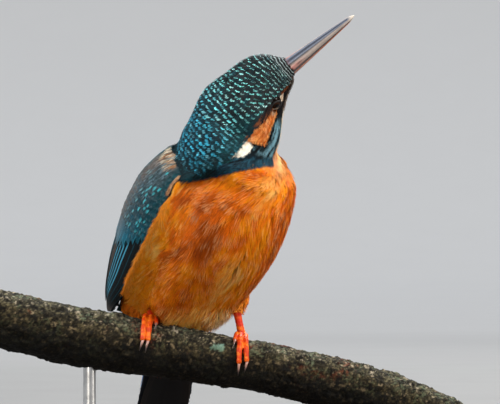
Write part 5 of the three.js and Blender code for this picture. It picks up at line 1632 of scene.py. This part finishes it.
def bill_piece(name, upper, mat):
    ring, t, a = bill_half(upper)
    n, m = ring.shape[:2]
    V, q, tr = signed(*capped(ring))
    k = np.zeros((n, m))
    k[:, : len(a)] = a[None]
    side = np.abs(np.cos(k))  # 0 on the ridge, 1 at the cutting edge
    T = np.broadcast_to(t[:, None], (n, m))
    P = ring
    n1 = fbm(P * np.array([1, 1, 1]), 1.6, 7, 3)
    if upper:
        C = lerp(rgb(44, 50, 66), rgb(190, 176, 168), smooth(side, 0.42, 0.6))
        C = lerp(C, rgb(206, 132, 122), smooth(side, 0.5, 0.8) * (1 - smooth(T, 0.03, 0.34)) * 0.85)
        C = lerp(C, rgb(150, 158, 176), smooth(side, 0.1, 0.25) * (1 - smooth(side, 0.3, 0.45)) * 0.6)
        C = lerp(C, rgb(150, 92, 84), (1 - smooth(T, 0.0, 0.1)) * 0.6)
        C = lerp(C, rgb(58, 36, 34), smooth(side, 0.95, 0.985))
        slit = np.exp(-(((T * 33.7 - 1.5 - 3.6) / 1.4) ** 2)) * np.exp(-(((side - 0.868) / 0.035) ** 2))
        C = lerp(C, rgb(40, 26, 28), slit)
    else:
        C = lerp(rgb(206, 84, 40), rgb(216, 116, 66), smooth(side, 0.2, 0.8))
        C = lerp(C, rgb(122, 52, 44), (1 - smooth(T, 0.02, 0.22)) * 0.6)
        C = lerp(C, rgb(240, 116, 54), smooth(T, 0.55, 0.85) * 0.6)
        C = lerp(C, rgb(196, 150, 140), smooth(side, 0.75, 0.95) * 0.5 * (1 - smooth(T, 0.3, 0.6)))
    C = lerp(C, rgb(226, 214, 198), smooth(T, 0.9, 0.985) * 0.9)
    C = C * (0.8 + 0.4 * n1)[..., None]
    C = np.concatenate([C.reshape(-1, 3), C[0, :1], C[-1, :1]])
    me, loops = raw_mesh(name, V, q, tr)
    add_colour(me, C)
    return place(name, me, mat, [f"bill_{'upper' if upper else 'lower'}"])


horn, nt, p = new_mat("bill_horn")
tone = node(nt, "ShaderNodeAttribute", attribute_name="tone")
streaks = object_noise(nt, 2.2, 4.0, 0.6)
fine = object_noise(nt, 0.4, 2.0)
shade = node(nt, "ShaderNodeVectorMath", operation="SCALE")
nt.links.new(tone.outputs["Color"], shade.inputs[0])
nt.links.new(math_node(nt, "ADD", math_node(nt, "MULTIPLY", streaks, 0.35), 0.82), shade.inputs["Scale"])
nt.links.new(shade.outputs[0], p.inputs["Base Color"])
bmp = node(nt, "ShaderNodeBump")
feed(nt, bmp, Strength=0.25, Distance=0.0001, Height=math_node(nt, "ADD", streaks, math_node(nt, "MULTIPLY", fine, 0.4)))
nt.links.new(bmp.outputs[0], p.inputs["Normal"])
p.inputs["Roughness"].default_value = 0.3
p.inputs["Specular IOR Level"].default_value = 0.55
p.inputs["Coat Weight"].default_value = 0.3
p.inputs["Coat Roughness"].default_value = 0.15
bill_piece("bill_horn_upper", True, horn)
bill_piece("bill_horn_lower", False, horn)

# =========================================================== eyes and lids
eye_mat, nt, p = new_mat("eye")
tone = node(nt, "ShaderNodeAttribute", attribute_name="tone")
fibres = object_noise(nt, 0.25, 3.0)
shade = node(nt, "ShaderNodeVectorMath", operation="SCALE")
nt.links.new(tone.outputs["Color"], shade.inputs[0])
nt.links.new(math_node(nt, "ADD", fibres, 0.5), shade.inputs["Scale"])
nt.links.new(shade.outputs[0], p.inputs["Base Color"])
p.inputs["Roughness"].default_value = 0.06
p.inputs["IOR"].default_value = 1.3
p.inputs["Specular IOR Level"].default_value = 0.22
p.inputs["Coat Weight"].default_value = 0.0
lid_mat, nt, p = new_mat("eyelid")
tone = node(nt, "ShaderNodeAttribute", attribute_name="tone")
nt.links.new(tone.outputs["Color"], p.inputs["Base Color"])
bmp = node(nt, "ShaderNodeBump")
feed(nt, bmp, Strength=0.5, Distance=0.0001, Height=object_noise(nt, 0.22, 3.0))
nt.links.new(bmp.outputs[0], p.inputs["Normal"])
p.inputs["Roughness"].default_value = 0.55

for name, (c, axis) in EYE_AXIS.items():
    fwd = unit(billDir - axis * (billDir @ axis))
    upv = np.cross(fwd, axis)
    if upv @ crownDir < 0:
        upv = -upv
    # the ball, with a cornea that bulges a little
    lat = np.linspace(0, PI, 40)
    lon = np.linspace(0, 2 * PI, 56, endpoint=False)
    rr = EYE_R * (1 - 0.004 + 0.035 * np.exp(-((lat / 0.55) ** 2)))
    G = c + axis * (rr * np.cos(lat))[:, None, None] + (
        fwd * np.cos(lon)[None, :, None] + upv * np.sin(lon)[None, :, None]
    ) * (rr * np.sin(lat))[:, None, None]
    V, q, tr = signed(*capped(G[1:-1]))
    C = lerp(rgb(4, 3, 3), rgb(46, 25, 13), smooth(lat[1:-1], 0.36, 0.41))
    C = lerp(C, rgb(16, 9, 6), smooth(lat[1:-1], 0.54, 0.66))
    C = np.repeat(C[:, None], 56, 1).reshape(-1, 3)
    C = np.concatenate([C, C[:1], C[-1:]])
    me, loops = raw_mesh(f"eyeball_{name}", V, q, tr)
    add_colour(me, C)
    place(f"eyeball_{name}", me, eye_mat, [f"eye_{name}"])
    # the lids: a soft almond rim on the ball
    m, k = 84, 14
    ph = np.linspace(0, 2 * PI, m, endpoint=False)
    open_ = 1.98 + 0.14 * np.cos(ph) ** 2 + 0.16 * np.maximum(0, np.cos(ph)) ** 6 - 0.1 * np.maximum(0, np.sin(ph))
    tube_r = 0.3 + 0.05 * np.sin(ph * 9 + 1) * 0.4
    zc = np.sqrt(np.maximum(EYE_R**2 - open_**2, 0.4)) + 0.05
    dirs = fwd * np.cos(ph)[:, None] + upv * np.sin(ph)[:, None]
    cen = c + dirs * open_[:, None] + axis * zc[:, None]
    b = np.linspace(0, 2 * PI, k, endpoint=False)
    G = cen[:, None] + (dirs[:, None] * np.cos(b)[None, :, None] * 1.25 + axis * np.sin(b)[None, :, None]) * tube_r[:, None, None]
    q = grid_quads(m, k, wrap=True)
    last = np.stack([(m - 1) * k + np.arange(k), np.arange(k), (np.arange(k) + 1) % k, (m - 1) * k + (np.arange(k) + 1) % k], -1)
    q = np.concatenate([q, last])
    Vl, q, _ = signed(G.reshape(-1, 3), q, np.zeros((0, 3), int))
    # the lower rim is pale, partly its own colour and partly a painted highlight
    low = smooth(-np.cos(ph - 0.45), 0.35, 0.85) * 0.8
    C = lerp(rgb(22, 17, 16), rgb(222, 200, 176), low)
    C = np.repeat(C[:, None], k, 1).reshape(-1, 3) * (0.8 + 0.4 * noise(Vl, 0.3, 2))[:, None]
    me, loops = raw_mesh(f"eyelid_{name}", Vl, q)
    add_colour(me, C)
    place(f"eyelid_{name}", me, lid_mat)

# =========================================================== perch frame
def perch_at(x):
    x = np.asarray(x, float)
    s = np.linspace(0, len(PERCH) - 1, 4001)
    return np.interp(x, spline(PERCH, s)[:, 0], s)


slope = math.tan(R(PERCH_HEADING))


def perch_frame(s):
    s = np.asarray(s, float)
    q = spline(PERCH, s)
    qa, qb = spline(PERCH, np.maximum(0, s - 0.02)), spline(PERCH, np.minimum(len(PERCH) - 1, s + 0.02))
    dx, dz = qb[..., 0] - qa[..., 0], qb[..., 1] - qa[..., 1]
    t = unit(np.stack([dx, slope * dx, dz], -1))
    front = unit(np.cross(t, UPZ))
    front = np.where(front[..., 1:2] > 0, -front, front)
    top = unit(np.cross(front, t))
    top = np.where(top[..., 2:3] < 0, -top, top)
    c = np.stack([q[..., 0], PERCH_Y + slope * (q[..., 0] - PERCH_X0), q[..., 1]], -1)
    return c, t, front, top, q[..., 2]


def on_perch(x, phi, h):
    x, phi, h = np.broadcast_arrays(np.asarray(x, float), np.asarray(phi, float), np.asarray(h, float))
    c, t, f, u, r = perch_frame(perch_at(x))
    shift = (r + h) * (u[..., 0] * np.cos(phi) + f[..., 0] * np.sin(phi))
    c, t, f, u, r = perch_frame(perch_at(x - shift))
    return c + u * ((r + h) * np.cos(phi))[..., None] + f * ((r + h) * np.sin(phi))[..., None]


def tube_form(pts, rs, m=20, ridge=None):
    pts = np.asarray(pts, float)
    t = unit(np.gradient(pts, axis=0))
    ref = np.array([1.0, 0, 0]) if abs(t[:, 0]).mean() < 0.8 else np.array([0, 1.0, 0])
    a = unit(np.cross(t, ref))
    b = np.cross(t, a)
    ph = np.linspace(0, 2 * PI, m, endpoint=False)
    rs = np.asarray(rs)[:, None] * np.ones((1, m))
    if ridge is not None:
        rs = rs * ridge(np.linspace(0, 1, len(pts))[:, None], ph[None])
    G = pts[:, None] + (a[:, None] * np.cos(ph)[None, :, None] + b[:, None] * np.sin(ph)[None, :, None]) * rs[..., None]
    return signed(*capped(G))


leg_mat, nt, p = new_mat("leg_skin")
tone = node(nt, "ShaderNodeAttribute", attribute_name="tone")
cells = node(nt, "ShaderNodeTexVoronoi", feature="F1")
tc = node(nt, "ShaderNodeTexCoord")
feed(nt, cells, Vector=tc.outputs["Object"], Scale=2300.0)
n1 = object_noise(nt, 0.9, 3.0)
shade = node(nt, "ShaderNodeVectorMath", operation="SCALE")
nt.links.new(tone.outputs["Color"], shade.inputs[0])
nt.links.new(math_node(nt, "ADD", math_node(nt, "MULTIPLY", n1, 0.5), 0.72), shade.inputs["Scale"])
nt.links.new(shade.outputs[0], p.inputs["Base Color"])
bmp = node(nt, "ShaderNodeBump")
feed(nt, bmp, Strength=0.45, Distance=0.00015, Height=math_node(nt, "ADD", cells.outputs["Distance"], math_node(nt, "MULTIPLY", n1, 0.6)))
nt.links.new(bmp.outputs[0], p.inputs["Normal"])
p.inputs["Roughness"].default_value = 0.5
p.inputs["Specular IOR Level"].default_value = 0.25
p.inputs["Subsurface Weight"].default_value = 0.1
p.inputs["Subsurface Radius"].default_value = (0.001, 0.0004, 0.0002)
p.inputs["Subsurface Scale"].default_value = 1.0
claw_mat, nt, p = new_mat("claw_horn")
tone = node(nt, "ShaderNodeAttribute", attribute_name="tone")
n1 = object_noise(nt, 0.5, 3.0)
shade = node(nt, "ShaderNodeVectorMath", operation="SCALE")
nt.links.new(tone.outputs["Color"], shade.inputs[0])
nt.links.new(math_node(nt, "ADD", math_node(nt, "MULTIPLY", n1, 0.6), 0.7), shade.inputs["Scale"])
nt.links.new(shade.outputs[0], p.inputs["Base Color"])
p.inputs["Roughness"].default_value = 0.3
p.inputs["Coat Weight"].default_value = 0.3

for name in SIDES:
    at, ankle, toes = FEET[name]
    sole = on_perch(at, R(2), 1.3)
    ankle = np.array(ankle, float)
    down = unit(sole - ankle)
    forms = []
    tt = np.linspace(-0.25, 0.95, 26)
    pts = ankle + (sole - ankle) * tt[:, None]
    rs = 1.48 * (1 + 0.22 * (2 * np.clip(tt, 0, 1) - 1) ** 2) + 0.05 * np.sin(tt * 46)
    forms.append(tube_form(pts, rs, 22))
    # the joint over the toes
    lat, lon = np.linspace(0.02, PI - 0.02, 18), np.linspace(0, 2 * PI, 28, endpoint=False)
    G = np.stack([2.35 * np.sin(lat)[:, None] * np.cos(lon), 2.2 * np.sin(lat)[:, None] * np.sin(lon), 1.35 * np.cos(lat)[:, None] + 0 * lon], -1) + sole + [0, 0, 0.1]
    forms.append(signed(*capped(G)))
    for toe, (x0, x1, a0, a1, r, xt, at_) in toes.items():
        r = r * 1.1
        u = np.linspace(0, 1, 44)
        rr = r * (1 - 0.22 * u)
        # joints swell and creases part the pads
        joints = 1 + 0.07 * np.cos(u * PI * 6.0) - 0.05 * np.exp(-(((u - 0.34) / 0.03) ** 2)) - 0.05 * np.exp(-(((u - 0.67) / 0.03) ** 2))
        ends = np.clip(np.sqrt(np.clip(1 - ((u - 0.93) / 0.09).clip(0) ** 2, 0.05, 1)), 0.3, 1) * np.where(u < 0.03, 0.75, 1)
        pts = on_perch(x0 + (x1 - x0) * u, R(a0 + (a1 - a0) * u), rr + 0.28)
        forms.append(tube_form(pts, rr * joints * ends, 22))
        # claw
        w = np.linspace(0, 1, 26)
        slack = math.copysign(1.5, a1 - a0)
        w0 = w * 1.12 - 0.12
        pts = on_perch(
            x1 + (xt - x1) * w0,
            R(a1 + slack + (at_ - a1 - slack) * w0),
            r * 0.78 + 0.3 + 0.75 * np.sin(PI * np.clip(w0 * 0.8 + 0.05, -0.2, 1)) - 0.45 * w0,
        )
        cr = 0.62 * (1 - 0.9 * w**1.15)
        Vc, qc, tc_ = tube_form(pts, cr, 14)
        me, loops = raw_mesh(f"nail_{name}_{toe}", Vc, qc, tc_)
        col = lerp(rgb(176, 128, 112), rgb(62, 50, 48), smooth(w, 0.1, 0.8))
        col = np.repeat(col[:, None], 14, 1).reshape(-1, 3)
        add_colour(me, np.concatenate([col, col[:1], col[-1:]]))
        place(f"nail_{name}_{toe}", me, claw_mat, [f"claw_{name}_{toe}"])
    # the outer and middle toes are joined for most of their length
    xo, xm = toes["outer"], toes["middle"]
    u = np.linspace(0, 0.62, 20)
    pts = on_perch((xo[0] + (xo[1] - xo[0]) * u + xm[0] + (xm[1] - xm[0]) * u) / 2, R(10 + ((xo[3] + xm[3]) / 2 - 10) * u), 1.15)
    forms.append(tube_form(pts, 0.75 + 0 * u, 14))
    V, q, tr = join(forms)
    me, P, loops = remeshed(f"leg_{name}", V, q, tr, 0.16, 2)
    n1 = fbm(P, 1.4, 11, 3)
    C = lerp(rgb(206, 60, 0), rgb(240, 118, 16), smooth(n1, 0.4, 0.72))
    C = lerp(C, rgb(186, 34, 6), smooth(0.44 - n1, 0, 0.2) * 0.6)
    # the shank is redder than the toes
    C = lerp(C, rgb(206, 30, 4), smooth(P[:, 2], sole[2] + 2.6, sole[2] + 4.5) * 0.7)
    add_colour(me, C)
    place(f"leg_{name}", me, leg_mat, [f"shank_{name}", f"foot_{name}"])
    COUNT[f"leg_{name}"] = len(me.polygons) * 2

# =========================================================== perch
n, m = 520, 150
sv = np.linspace(0, len(PERCH) - 1, n)
ph = np.linspace(0, 2 * PI, m, endpoint=False)
c, t, f, u, r = perch_frame(sv)
cosp, sinp = np.cos(ph), np.sin(ph)
dirn = u[:, None] * cosp[None, :, None] + f[:, None] * sinp[None, :, None]
P0 = c[:, None] + dirn * r[:, None, None]
along = P0 * np.array([0.55, 1, 1])
h = (fbm(along, 5.0, 200, 4) - 0.5) * 1.5 + (fbm(P0, 1.7, 220, 4, 0.6) - 0.5) * 1.5
plates = fbm(along, 3.4, 240, 3)
h = h + 0.5 * smooth(plates, 0.52, 0.6) - 0.15
crust = fbm(P0, 6.5, 260, 3)
lich = smooth(crust, 0.54, 0.64) * smooth(fbm(P0, 1.1, 270, 3), 0.4, 0.6)
h = h + 0.12 * lich
# keep the bark low under the toes
for name in SIDES:
    at = FEET[name][0]
    d = np.abs(P0[..., 0] - at)
    close = (1 - smooth(d, 4.5, 7.5)) * (ph[None] * 0 + 1)
    h = h * (1 - 0.75 * close) - 0.25 * close
h = np.minimum(h, 1.1)
G = P0 + dirn * h[..., None]
# the sawn ends: flat, with a worn rim
first, last = [], []
for k_ in (1.0, 0.97, 0.6, 0.25):
    first.append(c[0] + (G[0] - c[0]) * k_ - t[0] * (0 if k_ == 1.0 else 0.0))
    last.append(c[-1] + (G[-1] - c[-1]) * k_)
G = np.concatenate([np.array(first[::-1][:-1]), G, np.array(last[1:])])
V, q, tr = signed(*capped(G))
Pf = V
dark = rgb(46, 43, 34)
fine_ = fbm(Pf, 0.9, 300, 4, 0.65)
C = lerp(dark, rgb(112, 106, 82), smooth(fine_, 0.45, 0.72) * 0.85)
C = lerp(C, rgb(12, 11, 10), smooth(fbm(Pf, 1.5, 310, 4, 0.6), 0.47, 0.62) * 0.85)
C = lerp(C, rgb(112, 124, 100), smooth(fbm(Pf, 5.0, 260, 3), 0.5, 0.66) * smooth(fbm(Pf, 0.8, 270, 3), 0.5, 0.66) * 0.5)
C = lerp(C, rgb(176, 164, 142), smooth(fbm(Pf, 1.3, 330, 4), 0.64, 0.74) * 0.65)
C = lerp(C, rgb(118, 58, 38), smooth(fbm(Pf, 9.0, 350, 3), 0.6, 0.72) * smooth(fbm(Pf, 1.1, 351, 3), 0.5, 0.7) * 0.5)
# one blue-green lichen rosette between the feet, on the front
spot = on_perch(2.6, R(62), 0.0)
dd = np.linalg.norm((Pf - spot) * np.array([0.8, 1, 1.3]), axis=-1) + (fbm(Pf, 1.3, 370, 4) - 0.5) * 7.0
C = lerp(C, rgb(122, 160, 150), (1 - smooth(dd, 1.3, 2.6)) * 0.8)
me, loops = raw_mesh("branch", V, q, tr)
# painted light and shade: the bark is lighter on top and near black underneath, with a warmer cast below
up_for_painted_shade = np.broadcast_to(np.cos(ph + 0.25)[None], (len(G), m)).ravel()
up_for_painted_shade = np.concatenate([up_for_painted_shade, [0.0, 0.0]])
C = C * np.interp(up_for_painted_shade, [-1, -0.45, 0.1, 0.6, 1], [0.05, 0.09, 0.5, 1.15, 1.3])[:, None]
C = C * lerp(np.array([1.18, 1.0, 0.74]), np.array([1.0, 1.0, 1.0]), smooth(up_for_painted_shade, -0.1, 0.7))
# the cut ends show pale wood
rad0 = np.zeros(len(V))
nr = len(G)
ringi = np.repeat(np.arange(nr), m)
ringi = np.concatenate([ringi, [0, nr - 1]])
cut_end = ((ringi < 3) | (ringi > nr - 4)).astype(float)
cc = np.where(ringi[:, None] < nr / 2, c[0], c[-1])
rd = np.linalg.norm(V - cc, axis=-1)
wood = lerp(rgb(176, 140, 98), rgb(120, 88, 58), 0.5 + 0.5 * np.sin(rd * 5.2 + 2.5 * fbm(Pf, 4.0, 380, 2)))
C = lerp(C, wood, cut_end * (rd < 10.0))
add_colour(me, C)
bark, nt, p = new_mat("bark")
tone = node(nt, "ShaderNodeAttribute", attribute_name="tone")
n1 = object_noise(nt, 0.9, 6.0, 0.65)
n2 = object_noise(nt, 3.0, 5.0, 0.6)
v = node(nt, "ShaderNodeTexVoronoi", feature="DISTANCE_TO_EDGE")
tc = node(nt, "ShaderNodeTexCoord")
feed(nt, v, Vector=tc.outputs["Object"], Scale=420.0)
crack = math_node(nt, "SMOOTH_MIN", v.outputs["Distance"], 0.08, 0.05)
shade = node(nt, "ShaderNodeVectorMath", operation="SCALE")
nt.links.new(tone.outputs["Color"], shade.inputs[0])
nt.links.new(math_node(nt, "ADD", math_node(nt, "MULTIPLY", n1, 1.9), 0.05), shade.inputs["Scale"])
nt.links.new(shade.outputs[0], p.inputs["Base Color"])
bmp = node(nt, "ShaderNodeBump")
feed(nt, bmp, Strength=0.9, Distance=0.0006, Height=math_node(nt, "ADD", math_node(nt, "ADD", n1, math_node(nt, "MULTIPLY", n2, 0.8)), math_node(nt, "MULTIPLY", crack, 3.0)))
nt.links.new(bmp.outputs[0], p.inputs["Normal"])
p.inputs["Roughness"].default_value = 0.92
p.inputs["Specular IOR Level"].default_value = 0.2
place("branch", me, bark, ["perch"])
COUNT["branch"] = len(me.polygons) * 2

# =========================================================== stand
wood, nt, p = new_mat("stand_wood")
tc = node(nt, "ShaderNodeTexCoord")
mp = node(nt, "ShaderNodeMapping")
mp.inputs["Scale"].default_value = (18.0, 260.0, 260.0)
nt.links.new(tc.outputs["Object"], mp.inputs[0])
g = node(nt, "ShaderNodeTexNoise")
feed(nt, g, Vector=mp.outputs[0], Scale=1.0, Detail=6.0, Roughness=0.62, Distortion=0.6)
pores = node(nt, "ShaderNodeMapping")
pores.inputs["Scale"].default_value = (60.0, 1600.0, 1600.0)
nt.links.new(tc.outputs["Object"], pores.inputs[0])
g2 = node(nt, "ShaderNodeTexNoise")
feed(nt, g2, Vector=pores.outputs[0], Scale=1.0, Detail=3.0)
col = ramp(nt, g.outputs[0], [(0.3, tuple(rgb(44, 30, 22))), (0.5, tuple(rgb(78, 54, 38))), (0.68, tuple(rgb(54, 37, 27)))])
col = mix_rgb(nt, math_node(nt, "MULTIPLY", math_node(nt, "GREATER_THAN", g2.outputs[0], 0.6), 0.5), col, tuple(rgb(26, 18, 13)))
nt.links.new(col, p.inputs["Base Color"])
bmp = node(nt, "ShaderNodeBump")
feed(nt, bmp, Strength=0.2, Distance=0.0002, Height=math_node(nt, "ADD", g.outputs[0], g2.outputs[0]))
nt.links.new(bmp.outputs[0], p.inputs["Normal"])
p.inputs["Roughness"].default_value = 0.45
p.inputs["Coat Weight"].default_value = 0.25
p.inputs["Coat Roughness"].default_value = 0.3

# base: rounded corners and a turned edge
L_, W_, Tk, Cn = 66.0, 46.0, 10.0, 14.0
prof_ = [(0.0, 0.0), (0.0, 0.6), (0.0, 6.2), (0.35, 6.9), (1.1, 7.3), (1.25, 7.6), (1.3, 8.2), (1.55, 9.0), (2.1, 9.6), (2.9, 9.92), (3.8, 10.0)]
outline = []
for cx_, cy_, a0 in ((L_ - Cn, W_ - Cn, 0), (-(L_ - Cn), W_ - Cn, 90), (-(L_ - Cn), -(W_ - Cn), 180), (L_ - Cn, -(W_ - Cn), 270)):
    for a in np.linspace(R(a0), R(a0 + 90), 15):
        outline.append((cx_, cy_, math.cos(a), math.sin(a)))
outline = np.array(outline)
rings = [np.stack([outline[:, 0] * 0, outline[:, 1] * 0, np.zeros(len(outline))], -1) + np.stack([(outline[:, 0] + outline[:, 2] * Cn) * k, (outline[:, 1] + outline[:, 3] * Cn) * k, 0 * outline[:, 0]], -1) for k in (0.2, 0.6)]
for inset, z in prof_:
    rings.append(np.stack([outline[:, 0] + outline[:, 2] * (Cn - inset), outline[:, 1] + outline[:, 3] * (Cn - inset), np.full(len(outline), z)], -1))
for k in (0.9, 0.6, 0.2):
    last_ = rings[12]
    rings.append(np.stack([last_[:, 0] * k, last_[:, 1] * k, np.full(len(outline), 10.0)], -1))
V, q, tr = signed(*capped(np.array(rings)))
me, loops = raw_mesh("stand_board", V, q, tr)
place("stand_board", me, wood, ["stand_base"])

steel, nt, p = new_mat("stand_steel")
g = object_noise(nt, 1.0, 4.0, stretch=(5.0, 5.0, 0.15))
g2 = object_noise(nt, 4.0, 3.0)
nt.links.new(ramp(nt, g2, [(0.3, grey(0.42)), (0.7, grey(0.58))]), p.inputs["Base Color"])
nt.links.new(math_node(nt, "ADD", math_node(nt, "MULTIPLY", g, 0.25), 0.2), p.inputs["Roughness"])
bmp = node(nt, "ShaderNodeBump")
feed(nt, bmp, Strength=0.12, Distance=0.0001, Height=g)
nt.links.new(bmp.outputs[0], p.inputs["Normal"])
p.inputs["Metallic"].default_value = 1.0
for name, x in (("left_end", -48.0), ("right_end", 44.0)):
    cpt, t_, f_, u_, r_ = perch_frame(perch_at(np.array(x)))
    z1 = cpt[2] - r_ * 0.8
    prof = [(0.0, 10.0), (5.6, 10.0), (5.6, 10.9), (5.2, 11.4), (3.6, 11.8), (3.1, 12.6), (2.55, 13.4), (2.55, 20.0), (2.55, z1 - 4.0), (2.55, z1), (2.3, z1 + 1.5), (0.0, z1 + 1.5)]
    a = np.linspace(0, 2 * PI, 48, endpoint=False)
    G = np.array([np.stack([x + max(rr, 0.02) * np.cos(a), cpt[1] + max(rr, 0.02) * np.sin(a), np.full(48, zz)], -1) for rr, zz in prof])
    V, q, tr = signed(*capped(G))
    me, loops = raw_mesh(f"stand_post_{name}", V, q, tr)
    place(f"stand_post_{name}", me, steel, [f"stand_rod_{name}"])

# =========================================================== floor, light, camera
floor_mat, nt, p = new_mat("floor")
n1 = object_noise(nt, 60.0, 3.0)
tc = node(nt, "ShaderNodeTexCoord")
rad = node(nt, "ShaderNodeVectorMath", operation="LENGTH")
nt.links.new(tc.outputs["Object"], rad.inputs[0])
# the paper darkens a little under the lamps, so that it reads evenly pale
even = ramp(nt, math_node(nt, "MULTIPLY", rad.outputs["Value"], 0.2), [(p_, (g_, g_, g_ * 0.99)) for p_, g_ in ((0.0, 0.24), (0.15, 0.26), (0.178, 0.275), (0.206, 0.303), (0.238, 0.349), (0.274, 0.43), (0.316, 0.53), (0.416, 0.685), (0.556, 0.752), (0.7, 0.8), (1.0, 0.84))])
nt.links.new(mix_rgb(nt, 0.06, even, ramp(nt, n1, [(0.3, grey(0.4)), (0.7, grey(0.9))]), "SOFT_LIGHT"), p.inputs["Base Color"])
p.inputs["Roughness"].default_value = 0.9
p.inputs["Specular IOR Level"].default_value = 0.1
ang = np.linspace(0, 2 * PI, 128, endpoint=False)
prof = [(0.01, 0.0), (0.5, 0.0), (1.5, 0.0), (3.0, 0.0), (3.6, 0.0)]
for a in np.linspace(0, PI / 2, 20)[1:]:
    prof.append((3.6 + 1.6 * math.sin(a), 1.6 * (1 - math.cos(a))))
prof += [(5.2, 3.0), (5.2, 5.0)]
G = np.array([np.stack([rr * np.cos(ang), rr * np.sin(ang), np.full(128, zz)], -1) for rr, zz in prof])
me, loops = raw_mesh("floor", G.reshape(-1, 3), grid_quads(len(prof), 128, wrap=True)[:, ::-1], scale=1.0)
floor = bpy.data.objects.new("floor", me)
bpy.context.scene.collection.objects.link(floor)
me.materials.append(floor_mat)
floor.visible_diffuse = False

world = bpy.data.worlds.new("studio")
bpy.context.scene.world = world
world.use_nodes = True
nt = world.node_tree
nt.nodes.clear()
wo = nt.nodes.new("ShaderNodeOutputWorld")
bg = nt.nodes.new("ShaderNodeBackground")
tc = nt.nodes.new("ShaderNodeTexCoord")
sep = nt.nodes.new("ShaderNodeSeparateXYZ")
nt.links.new(tc.outputs["Generated"], sep.inputs[0])
up = math_node(nt, "MULTIPLY_ADD", sep.outputs[2], 0.5, 0.5)
# soft from above and round the sides, dim from below
sky = ramp(nt, up, [(0.0, (0.03, 0.03, 0.03)), (0.38, (0.10, 0.10, 0.10)), (0.5, (0.42, 0.42, 0.42)), (0.72, (0.70, 0.71, 0.73)), (1.0, (0.84, 0.87, 0.92))])
nt.links.new(sky, bg.inputs["Color"])
bg.inputs["Strength"].default_value = 1.0
nt.links.new(bg.outputs[0], wo.inputs[0])


def area(name, at, target, size, power, colour=(1, 1, 1)):
    d = bpy.data.lights.new(name, "AREA")
    d.shape = "DISK"
    d.size = size
    d.energy = power
    d.color = colour
    o = bpy.data.objects.new(name, d)
    bpy.context.scene.collection.objects.link(o)
    o.location = at
    from mathutils import Vector

    o.rotation_euler = (Vector(target) - Vector(at)).to_track_quat("-Z", "Y").to_euler()
    return o


area("key", (0.85, -0.75, 1.15), (0, 0, 0.11), 0.5, 20.5, (1.0, 0.96, 0.9))
area("side", (-1.15, -0.35, 0.75), (0, 0, 0.1), 0.6, 14.0, (0.95, 0.98, 1.0))
area("front", (-0.55, -1.3, 0.16), (0, 0, 0.09), 0.5, 4.0, (1.0, 0.93, 0.82))
area("right", (1.25, -0.4, 0.3), (0, 0, 0.09), 0.5, 4.5, (1.0, 0.94, 0.84))
area("rim", (0.35, 0.95, 0.95), (0, 0, 0.12), 0.6, 12.0, (1.0, 1.0, 1.0))
bpy.context.scene.view_settings.view_transform = "Standard"

cam_d = bpy.data.cameras.new("camera")
cam_d.lens, cam_d.sensor_width = 300.0, 36.0
cam_d.clip_start, cam_d.clip_end = 0.05, 60.0
cam = bpy.data.objects.new("camera", cam_d)
cam.location = (0.016, -1.6667, 0.1152)
cam.rotation_euler = (PI / 2, 0, 0)
bpy.context.scene.collection.objects.link(cam)
bpy.context.scene.camera = cam

print("triangles", sum(COUNT.values()), {k: v for k, v in COUNT.items()})
